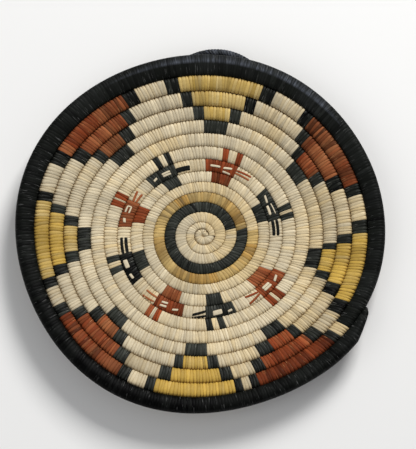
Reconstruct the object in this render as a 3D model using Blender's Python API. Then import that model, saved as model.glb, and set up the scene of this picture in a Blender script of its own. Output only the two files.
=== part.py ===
"""Coiled plaque: one long grass bundle wound into a flat spiral and wrapped with splints of leaf.

The plaque lies face up. Its centre is flat and its outer rounds rise into a shallow dish. The
bundle is a single unbroken tube. The wrapping round it is a row of sleeves, one for each round
of the pattern, and every sleeve changes colour where the splints do. Small splints lie on the
wrapping of the eight stitched heads, and a wrapped loop under the rim hangs the plaque up.
A place along the coil is a turn number: turn 0 lies on +X and the turns count counter-clockwise.
"""
import math
from collections import namedtuple
from functools import lru_cache

import bmesh
import bpy
import numpy as np

MM = 0.001
DEGREES_PER_TURN = 360
FULL_TURN = 2 * math.pi

# Spiral of the coil, seen from above
POINTS_PER_TURN = 32
LAST_TURN = 13.93
START_RADIUS = 4.9 * MM
START_PITCH = 4.8 * MM
INNER_PITCH = 8.9 * MM
MIDDLE_PITCH = 11.1 * MM
OUTER_PITCH = 12.5 * MM
PITCH_TURNS = (0, 1, 1.1, 5.5, 6.5, 10, 12)
PITCHES = (START_PITCH, START_PITCH, INNER_PITCH, INNER_PITCH, MIDDLE_PITCH, MIDDLE_PITCH, OUTER_PITCH)
SUM_STEPS = 400

# The hand-wound rounds are a little off round. Their radius has one set of waves that grows from
# the middle to the rim, and one that is highest two thirds of the way and gone at the rim.
ROUND_SHIFT = 1.86 * MM
ROUND_STRETCH = 2.37 * MM
ROUND_CORNERS = 0.95 * MM
ROUND_SQUARE = 1.35 * MM
MIDDLE_SHIFT = 1.05 * MM
MIDDLE_STRETCH = 0.8 * MM
MIDDLE_CORNERS = 0.44 * MM
MIDDLE_SQUARE = 0.4 * MM
# Waves: how many to the turn, height, place of a crest
WAVES = (
    (1, ROUND_SHIFT, math.radians(64)),
    (2, ROUND_STRETCH, math.radians(3)),
    (3, ROUND_CORNERS, math.radians(5)),
    (4, ROUND_SQUARE, math.radians(-23)),
)
MIDDLE_WAVES = (
    (1, MIDDLE_SHIFT, math.radians(-121.3)),
    (2, MIDDLE_STRETCH, math.radians(22.4)),
    (3, MIDDLE_CORNERS, math.radians(-42.8)),
    (4, MIDDLE_SQUARE, math.radians(21.8)),
)
MIDDLE_PEAK = 27 / 4

# Dish: flat inside the flat radius, then rising as a parabola up to the rim
FLAT_RADIUS = 50.0 * MM
DISH_RISE = 17.0 * MM
COIL_THICKNESS = 9.0 * MM
RIM_THICKNESS = 11.0 * MM
SLOPE_STEP = 0.02

# Section of the coil, as shares of its half width and half thickness
SIDE_SHARE = 0.5
TOP_SHARE = 0.72
ROUND_GAP = 0.45 * MM
WALL = 1.0 * MM
BUNDLE_CLEARANCE = 0.45 * MM
END_GAP = 0.4 * MM
NEIGHBOUR_TURNS = 0.67
CUT_SNAP = 0.001
POINT_SNAP = 1e-6

# The last round is fuller at the far side and thins to a tip at its end.
RIM_START = 12.905
RIM_EXTRA = 1.8 * MM
RIM_SHIFT = 2.1 * MM
RIM_WAVES = ((1, RIM_SHIFT, math.radians(104)),)
SWELL_START = 12.93
SWELL_TURNS = 0.12
TIP_START = 13.875
TIP_END = 13.958
TIP_SHARE = 0.12
BUNDLE_END = 13.91

# Start of the coil
DIMPLE_RADIUS = 0.8 * MM
DIMPLE_DEPTH = 1.6 * MM
KNOT_EDGE = 1.2 * MM
KNOT_CREST_SHARE = 0.62
KNOT_STEP = 0.0085

# Turns at which one sleeve of wrapping ends and the next begins
BLACK_START = 2.035
GOLD_START = 3.026
GOLD_END = 4.017
SLEEVES = (
    ("centre_rounds", 0.0, BLACK_START),
    ("black_ring", BLACK_START, GOLD_START),
    ("gold_ring", GOLD_START, GOLD_END),
    ("inner_cream_round", GOLD_END, 4.966),
    ("figure_neck_round", 4.966, 5.966),
    ("figure_head_round", 5.966, 6.966),
    ("figure_crest_round", 6.966, 7.936),
    ("outer_cream_round", 7.936, 8.936),
    ("star_tip_round", 8.936, 9.925),
    ("star_second_round", 9.925, 10.92),
    ("star_third_round", 10.92, 11.906),
    ("star_base_round", 11.906, RIM_START),
    ("black_rim", RIM_START, LAST_TURN),
)
NECK_ROUND = 5
HEAD_ROUND = 6
CREST_ROUND = 7
STAR_ROUNDS = (9, 10, 11, 12)

# Stitched heads, in degrees: colour, beak start, head start, head end, neck end, and where the
# crest's two stripes start
FIGURES = (
    ("black", -1, 12.3, 37.3, 30.1, (10.9, 16.9)),
    ("red", 50, 63.1, 88, 82, (63.1, 72.6)),
    ("black", 100, 111.9, 135.1, 127, (111.9, 119.5)),
    ("red", 145.2, 153.4, 173.8, 168.8, (152.2, 157.3)),
    ("black", 181, 193.2, 215.4, 209.9, (193.2, 200.3)),
    ("red", 224.3, 234.2, 255.6, 250.3, (233.6, 239)),
    ("black", 262.3, 271.9, 293.1, 286.3, (271.9, 279.6)),
    ("red", 302.9, 313.7, 334.6, 331.6, (313.7, 319.6)),
)
CREST_WIDTH = 4.0
NECK_INSET = 0.8

# Stepped stars, in degrees: colour, where each round's step starts, where each round's step ends
STARS = (
    ("yellow", (342.6, 338.9, 333.7, 328.1), (352.8, 355.7, 359.6, 364.5)),
    ("red", (28.5, 23.8, 18, 13.8), (39.2, 42.7, 46.6, 50.6)),
    ("yellow", (77.5, 72.5, 67.9, 62.8), (89.5, 94.5, 99, 104.1)),
    ("red", (129.6, 124.2, 120.2, 115.2), (140.3, 144.5, 149.7, 155)),
    ("yellow", (176.6, 172.1, 168.7, 165.3), (187.8, 192.6, 196.8, 200.5)),
    ("red", (220.1, 215.2, 211.4, 207.1), (229.4, 234.4, 239.4, 243.4)),
    ("yellow", (261.4, 257.6, 252.9, 249.6), (271.9, 276.7, 281.4, 284.2)),
    ("red", (300.8, 294.4, 290, 287.1), (310.5, 314.3, 319.1, 321.9)),
)
FIRST_STAR_SPLIT = 326

# Splints laid on the heads. A bar is its start and end, as shares of the head's length, then its
# place at the start and at the end and its half height, as shares of the coil's half width.
# An eye is two bars, the splint turned back from one to the other at its bridge, or one broad bar.
SPLINT_THICKNESS = 0.5 * MM
SPLINT_GAP = 0.32 * MM
EYE_BRIDGE_SHARE = 0.05
EYE_BAR_SHARES = (
    ((0.17, 0.55, -0.27, -0.24, 0.18), (0.17, 0.55, 0.47, 0.38, 0.09)),
    ((0.11, 0.42, -0.5, -0.38, 0.16), (0.11, 0.42, 0.38, 0.06, 0.16)),
    ((0.2, 0.52, -0.27, -0.2, 0.16), (0.2, 0.52, 0.22, 0.22, 0.16)),
    ((0.22, 0.49, -0.08, -0.06, 0.16), (0.22, 0.49, 0.5, 0.5, 0.16)),
    ((0.2, 0.5, 0.36, 0.34, 0.32),),
    ((0.19, 0.45, -0.14, -0.33, 0.15), (0.19, 0.45, 0.46, 0.26, 0.15)),
    ((0.23, 0.57, 0.32, 0.24, 0.34),),
    ((0.16, 0.49, 0.2, 0.2, 0.4),),
)
BRIDGE_FIRST_HEADS = (4,)
BROW_BAR_SHARES = (
    (0.585, 0.855, 0.0, -0.02, 0.15),
    (0.51, 0.86, 0.0, -0.14, 0.15),
    (0.71, 0.87, 0.06, -0.1, 0.15),
    (0.68, 0.85, 0.38, -0.05, 0.16),
    (0.68, 0.87, 0.48, 0.14, 0.16),
    (0.64, 0.85, 0.2, -0.22, 0.15),
    (0.725, 0.89, 0.3, 0.24, 0.15),
    (0.61, 0.83, 0.5, 0.04, 0.15),
)
# Halves of the beaks: their place at the tip and at the head, and their half height
BEAK_BAR_SHARES = {
    "lower": (
        (-0.31, -0.31, 0.2), (0.13, -0.12, 0.12), (-0.48, -0.46, 0.18), (-0.25, -0.15, 0.12),
        (-0.3, -0.3, 0.2), (-0.12, -0.22, 0.11), (0.16, -0.13, 0.18), (-0.48, -0.12, 0.11),
    ),
    "upper": (
        (0.34, 0.34, 0.2), (0.56, 0.3, 0.12), (0.06, 0.08, 0.18), (0.55, 0.28, 0.12),
        (0.36, 0.36, 0.2), (0.57, 0.45, 0.11), (0.62, 0.46, 0.09), (0.56, 0.16, 0.11),
    ),
}
BEAK_END_CLEARANCE = 0.6

# Hanging loop under the rim
LOOP_TURN = 13
LOOP_ANGLE = math.radians(84.7)
LOOP_RADIUS = 3.2 * MM
LOOP_HALF_SPAN = 35.0 * MM
LOOP_CROWN = 1.3 * MM
LOOP_DROP = 4.4 * MM
LOOP_DROP_SPAN = 23.5 * MM
LOOP_WALL = 0.8 * MM
LOOP_SEAT_GAP = 0.35 * MM
LOOP_POINTS = 15
LOOP_SIDES = 8
LASHING_THICKNESS = 0.9 * MM
LASHING_WIDTH = 6.0 * MM
LASHING_INSET = 5.0 * MM
LASHING_STEPS = 6
LASHING_TOP_GAP = 0.3 * MM

# Material: colour, roughness
FINISHES = {
    "cream": ((0.61, 0.50, 0.33, 1.0), 0.62),
    "black": ((0.012, 0.014, 0.015, 1.0), 0.45),
    "gold": ((0.49, 0.29, 0.10, 1.0), 0.6),
    "red": ((0.27, 0.065, 0.03, 1.0), 0.58),
    "yellow": ((0.56, 0.36, 0.09, 1.0), 0.6),
    "white": ((0.72, 0.64, 0.50, 1.0), 0.55),
    "grass": ((0.36, 0.27, 0.13, 1.0), 0.8),
}

CREASE_DEGREES = 40
Seam = namedtuple("Seam", "point out up thickness")
Ring = namedtuple("Ring", "centre across up half_width half_thickness inner outer")
OCTAGON = (
    (1, SIDE_SHARE), (TOP_SHARE, 1), (-TOP_SHARE, 1), (-1, SIDE_SHARE),
    (-1, -SIDE_SHARE), (-TOP_SHARE, -1), (TOP_SHARE, -1), (1, -SIDE_SHARE),
)
BORE_SIDES = 6


def start_clean():
    """Remove the objects that the scene starts with."""
    for item in list(bpy.data.objects):
        bpy.data.objects.remove(item, do_unlink=True)


def make_material(name):
    """Return the named finish, made once."""
    known = bpy.data.materials.get(name)
    if known:
        return known
    colour, roughness = FINISHES[name]
    material = bpy.data.materials.new(name)
    material.use_nodes = True
    shader = material.node_tree.nodes["Principled BSDF"]
    shader.inputs["Base Color"].default_value = colour
    shader.inputs["Roughness"].default_value = roughness
    shader.inputs["Metallic"].default_value = 0
    material.diffuse_color = colour
    return material


def new_object(name, points, faces, finishes, slots=None):
    """Make one object from points and faces, its faces turned outwards and shaded smooth."""
    mesh = bpy.data.meshes.new(name)
    mesh.from_pydata([tuple(p) for p in points], [], faces)
    for finish in finishes:
        mesh.materials.append(make_material(finish))
    if slots:
        mesh.polygons.foreach_set("material_index", slots)
    work = bmesh.new()
    work.from_mesh(mesh)
    bmesh.ops.recalc_face_normals(work, faces=work.faces)
    work.to_mesh(mesh)
    work.free()
    mesh.shade_smooth()
    mesh.set_sharp_from_angle(angle=math.radians(CREASE_DEGREES))
    item = bpy.data.objects.new(name, mesh)
    bpy.context.scene.collection.objects.link(item)
    return item


@lru_cache(maxsize=None)
def round_radius(turn):
    """Mean radius of the seam inside a turn: the start radius plus the pitches summed up to it."""
    turns = (np.arange(SUM_STEPS) + 0.5) / SUM_STEPS * turn
    return START_RADIUS + float(np.mean(np.interp(turns, PITCH_TURNS, PITCHES))) * turn


def dish_share(turn):
    """How far the seam lies from the edge of the flat centre to the rim, from 0 to 1."""
    flat, rim = FLAT_RADIUS, round_radius(LAST_TURN)
    return max(0.0, (round_radius(turn) - flat) / (rim - flat))


def coil_thickness(turn):
    """Thickness of the coil at a seam: even over the flat centre, then growing to the rim's."""
    return COIL_THICKNESS + (RIM_THICKNESS - COIL_THICKNESS) * dish_share(turn)


def sum_waves(waves, angle):
    """Sum of the waves' heights at an angle."""
    return sum(height * math.cos(count * (angle - crest)) for count, height, crest in waves)


def seam_profile(turn, angle):
    """Plan radius and middle height of a seam: the round radius plus its waves, and a parabola."""
    share = min(1.0, turn / LAST_TURN)
    middle = MIDDLE_PEAK * share ** 2 * (1 - share)
    radius = round_radius(turn) + sum_waves(WAVES, angle) * turn / LAST_TURN
    radius += sum_waves(MIDDLE_WAVES, angle) * middle
    height = coil_thickness(turn) / 2 + DISH_RISE * dish_share(turn) ** 2
    return np.array((radius, height))


def seam(turn, angle):
    """The seam between two rounds: its point, the way out along the dish and the way up from it."""
    radial = np.array((math.cos(angle), math.sin(angle), 0.0))
    vertical = np.array((0.0, 0.0, 1.0))
    radius, height = seam_profile(turn, angle)
    step = seam_profile(turn + SLOPE_STEP, angle) - seam_profile(turn - SLOPE_STEP, angle)
    run, climb = step / np.linalg.norm(step)
    out = run * radial + climb * vertical
    up = run * vertical - climb * radial
    return Seam(radius * radial + height * vertical, out, up, coil_thickness(turn))


def rim_swell(turn):
    """Width that the rim gains or loses round the plaque, coming in over its first stretch."""
    share = min(1.0, max(0.0, (turn - SWELL_START) / SWELL_TURNS))
    return share * (RIM_EXTRA + sum_waves(RIM_WAVES, FULL_TURN * turn))


def tip_share(turn):
    """Size of the coil where it thins to its tip, as a share of its full size."""
    done = (turn - TIP_START) / (TIP_END - TIP_START)
    return 1.0 - (1.0 - TIP_SHARE) * min(1.0, max(0.0, done))


@lru_cache(maxsize=None)
def ring(turn):
    """Section of the coil at a turn, between the seam inside it and the seam outside it."""
    angle = FULL_TURN * turn
    inner, outer = seam(turn, angle), seam(turn + 1, angle)
    share = tip_share(turn)
    if turn > RIM_START:
        width = share * (np.linalg.norm(outer.point - inner.point) + rim_swell(turn))
        outer = Seam(inner.point + width * inner.out, inner.out, inner.up, inner.thickness)
    span = outer.point - inner.point
    width = np.linalg.norm(span)
    across = span / width
    up = inner.up + outer.up
    up = up - across * float(up @ across)
    up = up / np.linalg.norm(up)
    centre = (inner.point + outer.point) / 2
    thickness = share * (inner.thickness + outer.thickness) / 2
    return Ring(centre, across, up, (width - ROUND_GAP) / 2, thickness / 2, inner, outer)


def along(turn, shape):
    """A shape at any turn, straight between the two nearest points of the coil."""
    step = turn * POINTS_PER_TURN
    low = math.floor(step + POINT_SNAP)
    share = max(0.0, step - low)
    first = shape(ring(low / POINTS_PER_TURN))
    if share < POINT_SNAP:
        return first
    return first * (1 - share) + shape(ring((low + 1) / POINTS_PER_TURN)) * share


def wrap_shape(place):
    """The eight points of the wrapping: flat sides along the seams, flat top and bottom."""
    points = []
    for across, up in OCTAGON:
        if abs(across) == 1:
            side = place.outer if across > 0 else place.inner
            edge = side.point - across * ROUND_GAP / 2 * side.out
            points.append(edge + up * place.half_thickness * side.up)
        else:
            rise = up * place.half_thickness * place.up
            points.append(place.centre + across * place.half_width * place.across + rise)
    return np.array(points)


def inset_shape(inset):
    """A six-sided oval inside the wrapping, by the inset on every side."""
    def shape(place):
        width, height = place.half_width - inset, place.half_thickness - inset
        turns = np.arange(BORE_SIDES) * FULL_TURN / BORE_SIDES
        across = np.outer(np.cos(turns) * width, place.across)
        return place.centre + across + np.outer(np.sin(turns) * height, place.up)
    return shape


def base_turns(start, end):
    """The coil's own points between two turns, with both ends added."""
    first = math.floor(start * POINTS_PER_TURN) + 1
    last = math.ceil(end * POINTS_PER_TURN) - 1
    inside = [step / POINTS_PER_TURN for step in range(first, last + 1)]
    inside = [turn for turn in inside if start + CUT_SNAP < turn < end - CUT_SNAP]
    return [start] + inside + [end]


def tube_faces(rings, sides, first=0):
    """Quads between neighbouring rings of a tube."""
    faces = []
    for row in range(rings - 1):
        for side in range(sides):
            nxt = (side + 1) % sides
            a, b = first + row * sides, first + (row + 1) * sides
            faces.append((a + side, a + nxt, b + nxt, b + side))
    return faces


def cap_faces(outer, inner):
    """Triangles between two loops of unlike counts that run round the same centre."""
    faces = []
    i = j = 0
    while i < len(outer) or j < len(inner):
        here, there = outer[i % len(outer)], inner[j % len(inner)]
        if (j + 1) / len(inner) <= (i + 1) / len(outer):
            faces.append((here, inner[(j + 1) % len(inner)], there))
            j += 1
        else:
            faces.append((here, outer[(i + 1) % len(outer)], there))
            i += 1
    return faces


def loop_ids(first, count):
    """Numbers of the points of one ring."""
    return list(range(first, first + count))


def colour_runs():
    """Every change of splint along the coil: start turn, end turn and colour, later ones on top."""
    runs = [(BLACK_START, GOLD_START, "black"), (GOLD_START, GOLD_END, "gold")]
    runs.append((RIM_START, LAST_TURN, "black"))
    for colour, _, head, head_end, neck_end, crests in FIGURES:
        runs.append((*turns_of(NECK_ROUND, head + NECK_INSET, neck_end), colour))
        runs.append((*turns_of(HEAD_ROUND, head, head_end), colour))
        for crest in crests:
            runs.append((*turns_of(CREST_ROUND, crest, crest + CREST_WIDTH), colour))
    for colour, starts, ends in STARS:
        for step, number in enumerate(STAR_ROUNDS):
            if starts[0] > FIRST_STAR_SPLIT:
                number -= 1
            runs.append((*turns_of(number, starts[step], ends[step]), "black"))
            if step:
                runs.append((*turns_of(number, starts[step - 1], ends[step - 1]), colour))
    return runs


def turns_of(number, start, end):
    """Turns of a stretch given by its round and its two angles in degrees."""
    return number + start / DEGREES_PER_TURN, number + end / DEGREES_PER_TURN


def colour_at(turn, runs):
    """Colour of the splints at a turn."""
    colour = "cream"
    for start, end, name in runs:
        if start <= turn <= end:
            colour = name
    return colour


def wrapping(name, start, end, closed):
    """A sleeve of splints: outer rings at every colour change, a plain bore for the bundle."""
    runs = colour_runs()
    gap = END_GAP / 2 / (FULL_TURN * round_radius((start + end) / 2 + 1))
    start, end = start + gap, end - gap
    cuts = {turn for run in runs for turn in run[:2] if start + CUT_SNAP < turn < end - CUT_SNAP}
    plain = [turn for turn in base_turns(start, end) if min_distance(turn, cuts) > CUT_SNAP]
    turns = sorted(cuts | set(plain))
    bores = base_turns(start, BUNDLE_END if closed else end)
    sides = len(OCTAGON)
    rows = [along(turn, wrap_shape) for turn in turns]
    rows += [along(turn, inset_shape(WALL)) for turn in bores]
    faces = tube_faces(len(turns), sides)
    middles = [(a + b) / 2 for a, b in zip(turns, turns[1:])]
    colours = [colour_at(turn, runs) for turn in middles for _ in range(sides)]
    bore_first = len(turns) * sides
    inside = tube_faces(len(bores), BORE_SIDES, bore_first)
    last_outer = loop_ids(bore_first - sides, sides)
    last_inner = loop_ids(bore_first + (len(bores) - 1) * BORE_SIDES, BORE_SIDES)
    caps = cap_faces(loop_ids(0, sides), loop_ids(bore_first, BORE_SIDES))
    caps += [tuple(last_outer), tuple(last_inner)] if closed else cap_faces(last_outer, last_inner)
    faces += inside + caps
    colours += [colours[0]] * (len(inside) + len(caps))
    finishes = sorted(set(colours))
    slots = [finishes.index(colour) for colour in colours]
    return new_object(name, np.concatenate(rows), faces, finishes, slots)


def min_distance(turn, cuts):
    """Distance along the coil from a turn to the nearest of the cuts."""
    return min((abs(turn - cut) for cut in cuts), default=1.0)


def grass_bundle():
    """The unbroken foundation: one six-sided tube along the whole coil, wound like its wrapping."""
    gap = END_GAP / (FULL_TURN * round_radius(1))
    end_gap = END_GAP / (FULL_TURN * round_radius(BUNDLE_END))
    turns = base_turns(gap, BUNDLE_END - end_gap)
    rows = [along(turn, inset_shape(WALL + BUNDLE_CLEARANCE)) for turn in turns]
    faces = tube_faces(len(turns), BORE_SIDES)
    last = (len(turns) - 1) * BORE_SIDES
    faces += [tuple(loop_ids(0, BORE_SIDES)), tuple(loop_ids(last, BORE_SIDES))]
    report_gap(np.array(rows))
    return new_object("grass_bundle", np.concatenate(rows), faces, ["grass"])


def report_gap(rows):
    """Measure on its points how near the bundle comes to its own neighbouring turns, and print it."""
    least = math.inf
    apart = round(NEIGHBOUR_TURNS * POINTS_PER_TURN)
    for number, row in enumerate(rows[apart:], apart):
        others = rows[:number - apart + 1].reshape(-1, 3)
        reach = np.linalg.norm(row[:, None, :] - others[None, :, :], axis=2)
        least = min(least, float(reach.min()))
    print(f"bundle: least gap to itself {least / MM:.2f} mm over {len(rows)} points")


def start_knot():
    """The curled start of the coil: a low button that grows once round, with a dimple on top."""
    turns = [step / POINTS_PER_TURN for step in range(POINTS_PER_TURN)] + [1 - KNOT_STEP]
    half = COIL_THICKNESS / 2
    points = []
    for turn in turns:
        edge = seam(turn, FULL_TURN * turn)
        radius = float(np.hypot(edge.point[0], edge.point[1])) - ROUND_GAP / 2
        radial = np.array((math.cos(FULL_TURN * turn), math.sin(FULL_TURN * turn)))
        profile = (
            (DIMPLE_RADIUS, COIL_THICKNESS - DIMPLE_DEPTH),
            (KNOT_CREST_SHARE * radius, COIL_THICKNESS),
            (radius, half + SIDE_SHARE * half),
            (radius, half - SIDE_SHARE * half),
            (radius - KNOT_EDGE, 0.0),
        )
        points += [(*(r * radial), z) for r, z in profile]
    rings, width = len(turns), len(profile)
    faces = []
    for row in range(rings):
        nxt = (row + 1) % rings
        for side in range(width - 1):
            a, b = row * width + side, nxt * width + side
            faces.append((a, a + 1, b + 1, b))
    faces.append(tuple(row * width for row in range(rings)))
    faces.append(tuple(row * width + width - 1 for row in range(rings)))
    return new_object("start_knot", points, faces, ["cream"])


def laid_splint(name, outline, finish):
    """A flat splint on the coil's top: its outline in turns and shares of the half width, made thick."""
    levels = (SPLINT_GAP, SPLINT_GAP + SPLINT_THICKNESS)
    points = []
    for level in levels:
        for turn, share in outline:
            points.append(along(turn, lambda place: top_point(place, share, level)))
    count = len(outline)
    faces = [tuple(range(count)), tuple(range(count, 2 * count))]
    faces += [(i, (i + 1) % count, count + (i + 1) % count, count + i) for i in range(count)]
    return new_object(name, points, faces, [finish])


def top_point(place, share, level):
    """A point over the coil's flat top, by its share of the half width and its height above."""
    rise = (place.half_thickness + level) * place.up
    return place.centre + share * place.half_width * place.across + rise


def bar_outline(start, end, first, last, half):
    """Outline of a splint along the coil, with a middle point on each long side."""
    middle, place = (start + end) / 2, (first + last) / 2
    lower = [(start, first - half), (middle, place - half), (end, last - half)]
    return lower + [(end, last + half), (middle, place + half), (start, first + half)]


def eye_outline(start, end, lower, upper, bridge, bridge_first):
    """Outline of an eye's two bars, joined by the stitch that turns back at one end of them."""
    ends = (end, start) if bridge_first else (start, end)
    places = [(bar[1], bar[0], bar[2]) if bridge_first else bar for bar in (lower, upper)]
    (low_open, low_joined, low_half), (high_open, high_joined, high_half) = places
    share = bridge / (end - start)
    inner_end = ends[1] + (ends[0] - ends[1]) * share
    low_inner = low_joined + (low_open - low_joined) * share + low_half
    high_inner = high_joined + (high_open - high_joined) * share - high_half
    outside = [(ends[0], low_open - low_half), (ends[1], low_joined - low_half)]
    outside += [(ends[1], high_joined + high_half), (ends[0], high_open + high_half)]
    inside = [(ends[0], high_open - high_half), (inner_end, high_inner)]
    return outside + inside + [(inner_end, low_inner), (ends[0], low_open + low_half)]


def figure_splints(number, figure):
    """The splints laid on one stitched head: its eye, its brow and the two halves of its beak."""
    colour, beak, head, head_end, _, _ = figure
    start, end = turns_of(HEAD_ROUND, head, head_end)
    span = end - start
    (eye_first, eye_last, *lower), *upper = EYE_BAR_SHARES[number - 1]
    eye = (start + eye_first * span, start + eye_last * span)
    if upper:
        bridge_first = number in BRIDGE_FIRST_HEADS
        outline = eye_outline(*eye, lower, upper[0][2:], EYE_BRIDGE_SHARE * span, bridge_first)
    else:
        outline = bar_outline(*eye, *lower)
    laid_splint(f"figure_{number}_eye", outline, "white")
    brow_first, brow_last, *brow = BROW_BAR_SHARES[number - 1]
    brow_turns = (start + brow_first * span, start + brow_last * span)
    laid_splint(f"figure_{number}_brow", bar_outline(*brow_turns, *brow), "white")
    beak_turns = turns_of(HEAD_ROUND, beak, head - BEAK_END_CLEARANCE)
    for half, rows in BEAK_BAR_SHARES.items():
        outline = bar_outline(*beak_turns, *rows[number - 1])
        laid_splint(f"figure_{number}_beak_{half}", outline, colour)


def loop_places():
    """Points along the hanging loop: an arch that follows the rim's underside, out past its edge."""
    turn = LOOP_TURN + LOOP_ANGLE / FULL_TURN
    reach = float(np.linalg.norm(ring(turn).outer.point[:2]))
    places = []
    for step in np.linspace(-1.0, 1.0, LOOP_POINTS):
        offset = step * LOOP_HALF_SPAN
        side = ring(turn + offset / reach / FULL_TURN)
        out = LOOP_CROWN - LOOP_DROP * (offset / LOOP_DROP_SPAN) ** 2
        depth = side.half_thickness + LOOP_RADIUS + LOOP_SEAT_GAP
        places.append((side.outer.point + out * side.outer.out - depth * side.outer.up, side.outer.up))
    return places


def sweep_frames(places):
    """Point, forward, side and up for each place of a swept piece."""
    points = np.array([point for point, _ in places])
    forwards = np.gradient(points, axis=0)
    frames = []
    for (point, up), forward in zip(places, forwards):
        forward = forward / np.linalg.norm(forward)
        side = np.cross(forward, up)
        side = side / np.linalg.norm(side)
        frames.append((point, forward, side, np.cross(side, forward)))
    return frames


def round_rows(frames, radius, sides):
    """Rings of a round tube along the frames."""
    turns = (np.arange(sides) + 0.5) * FULL_TURN / sides
    rows = []
    for point, _, side, up in frames:
        rows.append(point + radius * (np.outer(np.cos(turns), side) + np.outer(np.sin(turns), up)))
    return rows


def hanging_loop():
    """The loop's grass bundle and the splints wrapped round it."""
    frames = sweep_frames(loop_places())
    count = len(frames)
    bore = LOOP_RADIUS - LOOP_WALL
    outer = round_rows(frames, LOOP_RADIUS, LOOP_SIDES)
    inner = round_rows(frames, bore, BORE_SIDES)
    first = count * LOOP_SIDES
    faces = tube_faces(count, LOOP_SIDES) + tube_faces(count, BORE_SIDES, first)
    faces += cap_faces(loop_ids(0, LOOP_SIDES), loop_ids(first, BORE_SIDES))
    last = loop_ids(first - LOOP_SIDES, LOOP_SIDES)
    faces += cap_faces(last, loop_ids(first + (count - 1) * BORE_SIDES, BORE_SIDES))
    new_object("hanging_loop_wrap", np.concatenate(outer + inner), faces, ["black"])
    core = round_rows(frames, bore - BUNDLE_CLEARANCE, BORE_SIDES)
    faces = tube_faces(count, BORE_SIDES)
    faces += [tuple(loop_ids(0, BORE_SIDES)), tuple(loop_ids((count - 1) * BORE_SIDES, BORE_SIDES))]
    new_object("hanging_loop_bundle", np.concatenate(core), faces, ["grass"])


def lashing(name, frame):
    """A band of splint under the loop's foot: half round the loop, with legs up to the rim."""
    point, forward, side, up = frame
    near = LOOP_RADIUS + LOOP_SEAT_GAP
    far = near + LASHING_THICKNESS
    top = LOOP_RADIUS + LOOP_SEAT_GAP - LASHING_TOP_GAP
    rows = []
    for radius in (near, far):
        path = [(radius, top)]
        for step in range(LASHING_STEPS + 1):
            turn = -math.pi * step / LASHING_STEPS
            path.append((radius * math.cos(turn), radius * math.sin(turn)))
        path.append((-radius, top))
        rows.append(path)
    points = []
    for (near_side, near_up), (far_side, far_up) in zip(*rows):
        for a, b in ((near_side, near_up), (far_side, far_up)):
            for half in (-LASHING_WIDTH / 2, LASHING_WIDTH / 2):
                points.append(point + a * side + b * up + half * forward)
    count = len(rows[0])
    faces = []
    for row in range(count - 1):
        a, b = 4 * row, 4 * (row + 1)
        for i, j in ((0, 1), (1, 3), (3, 2), (2, 0)):
            faces.append((a + i, a + j, b + j, b + i))
    last = 4 * (count - 1)
    faces += [(0, 1, 3, 2), (last, last + 1, last + 3, last + 2)]
    new_object(name, points, faces, ["black"])


def loop_lashings():
    """The two lashings that hold the loop's feet under the rim."""
    frames = sweep_frames(loop_places())
    spacing = 2 * LOOP_HALF_SPAN / (LOOP_POINTS - 1)
    inset = max(1, round(LASHING_INSET / spacing))
    lashing("loop_lashing_right", frames[inset])
    lashing("loop_lashing_left", frames[-1 - inset])


def main():
    """Build the whole plaque."""
    start_clean()
    start_knot()
    grass_bundle()
    for name, start, end in SLEEVES:
        wrapping(name, start, end, closed=end == LAST_TURN)
    for number, figure in enumerate(FIGURES, 1):
        figure_splints(number, figure)
    hanging_loop()
    loop_lashings()


main()
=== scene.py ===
"""Looks of a coiled plaque: every stitch of its coil, the splints laid on its heads, its hanging loop.

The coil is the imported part's own: the same spiral, dish and colour changes, worked out as arrays.
A place along the coil is a turn number: turn 0 lies on +X and the turns count counter-clockwise.
All lengths are in metres.
"""
import math
from collections import namedtuple
from functools import partial

import bpy
import numpy as np
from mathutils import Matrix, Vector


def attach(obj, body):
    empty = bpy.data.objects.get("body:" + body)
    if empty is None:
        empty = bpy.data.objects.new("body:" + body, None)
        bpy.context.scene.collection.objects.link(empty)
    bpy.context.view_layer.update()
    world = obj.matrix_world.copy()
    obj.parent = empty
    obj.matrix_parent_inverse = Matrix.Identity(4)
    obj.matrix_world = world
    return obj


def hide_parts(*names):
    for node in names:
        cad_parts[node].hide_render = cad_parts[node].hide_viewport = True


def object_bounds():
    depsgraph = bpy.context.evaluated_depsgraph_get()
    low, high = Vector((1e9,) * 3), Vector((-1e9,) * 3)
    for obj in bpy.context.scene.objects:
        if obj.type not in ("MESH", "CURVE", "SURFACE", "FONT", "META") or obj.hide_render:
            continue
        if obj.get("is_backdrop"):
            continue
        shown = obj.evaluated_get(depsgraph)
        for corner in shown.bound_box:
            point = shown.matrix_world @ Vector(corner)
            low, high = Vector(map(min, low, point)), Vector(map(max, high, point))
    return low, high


bl_info = {
    "name": "Coiled plaque",
    "version": (1, 0, 0),
    "blender": (4, 5, 0),
    "location": "3D View > Sidebar > Plaque",
    "description": "Stitches, laid splints, hanging loop and stage of a coiled basketry plaque",
    "category": "Object",
}

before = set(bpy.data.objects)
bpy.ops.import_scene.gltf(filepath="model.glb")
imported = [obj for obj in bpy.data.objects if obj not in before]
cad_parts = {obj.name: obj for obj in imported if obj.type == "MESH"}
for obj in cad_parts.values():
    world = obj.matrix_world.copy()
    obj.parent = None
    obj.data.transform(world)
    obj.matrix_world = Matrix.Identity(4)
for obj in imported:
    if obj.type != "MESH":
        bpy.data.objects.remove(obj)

MM = 0.001
FULL_TURN = 2 * math.pi
DEGREES_PER_TURN = 360

# The coil's spiral and dish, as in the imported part
LAST_TURN = 13.93
START_RADIUS = 4.9 * MM
PITCH_TURNS = (0, 1, 1.1, 5.5, 6.5, 10, 12)
PITCHES = tuple(pitch * MM for pitch in (4.8, 4.8, 8.9, 8.9, 11.1, 11.1, 12.5))
SUM_SPAN, SUM_POINTS = (-0.5, 15.5), 6401
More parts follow.
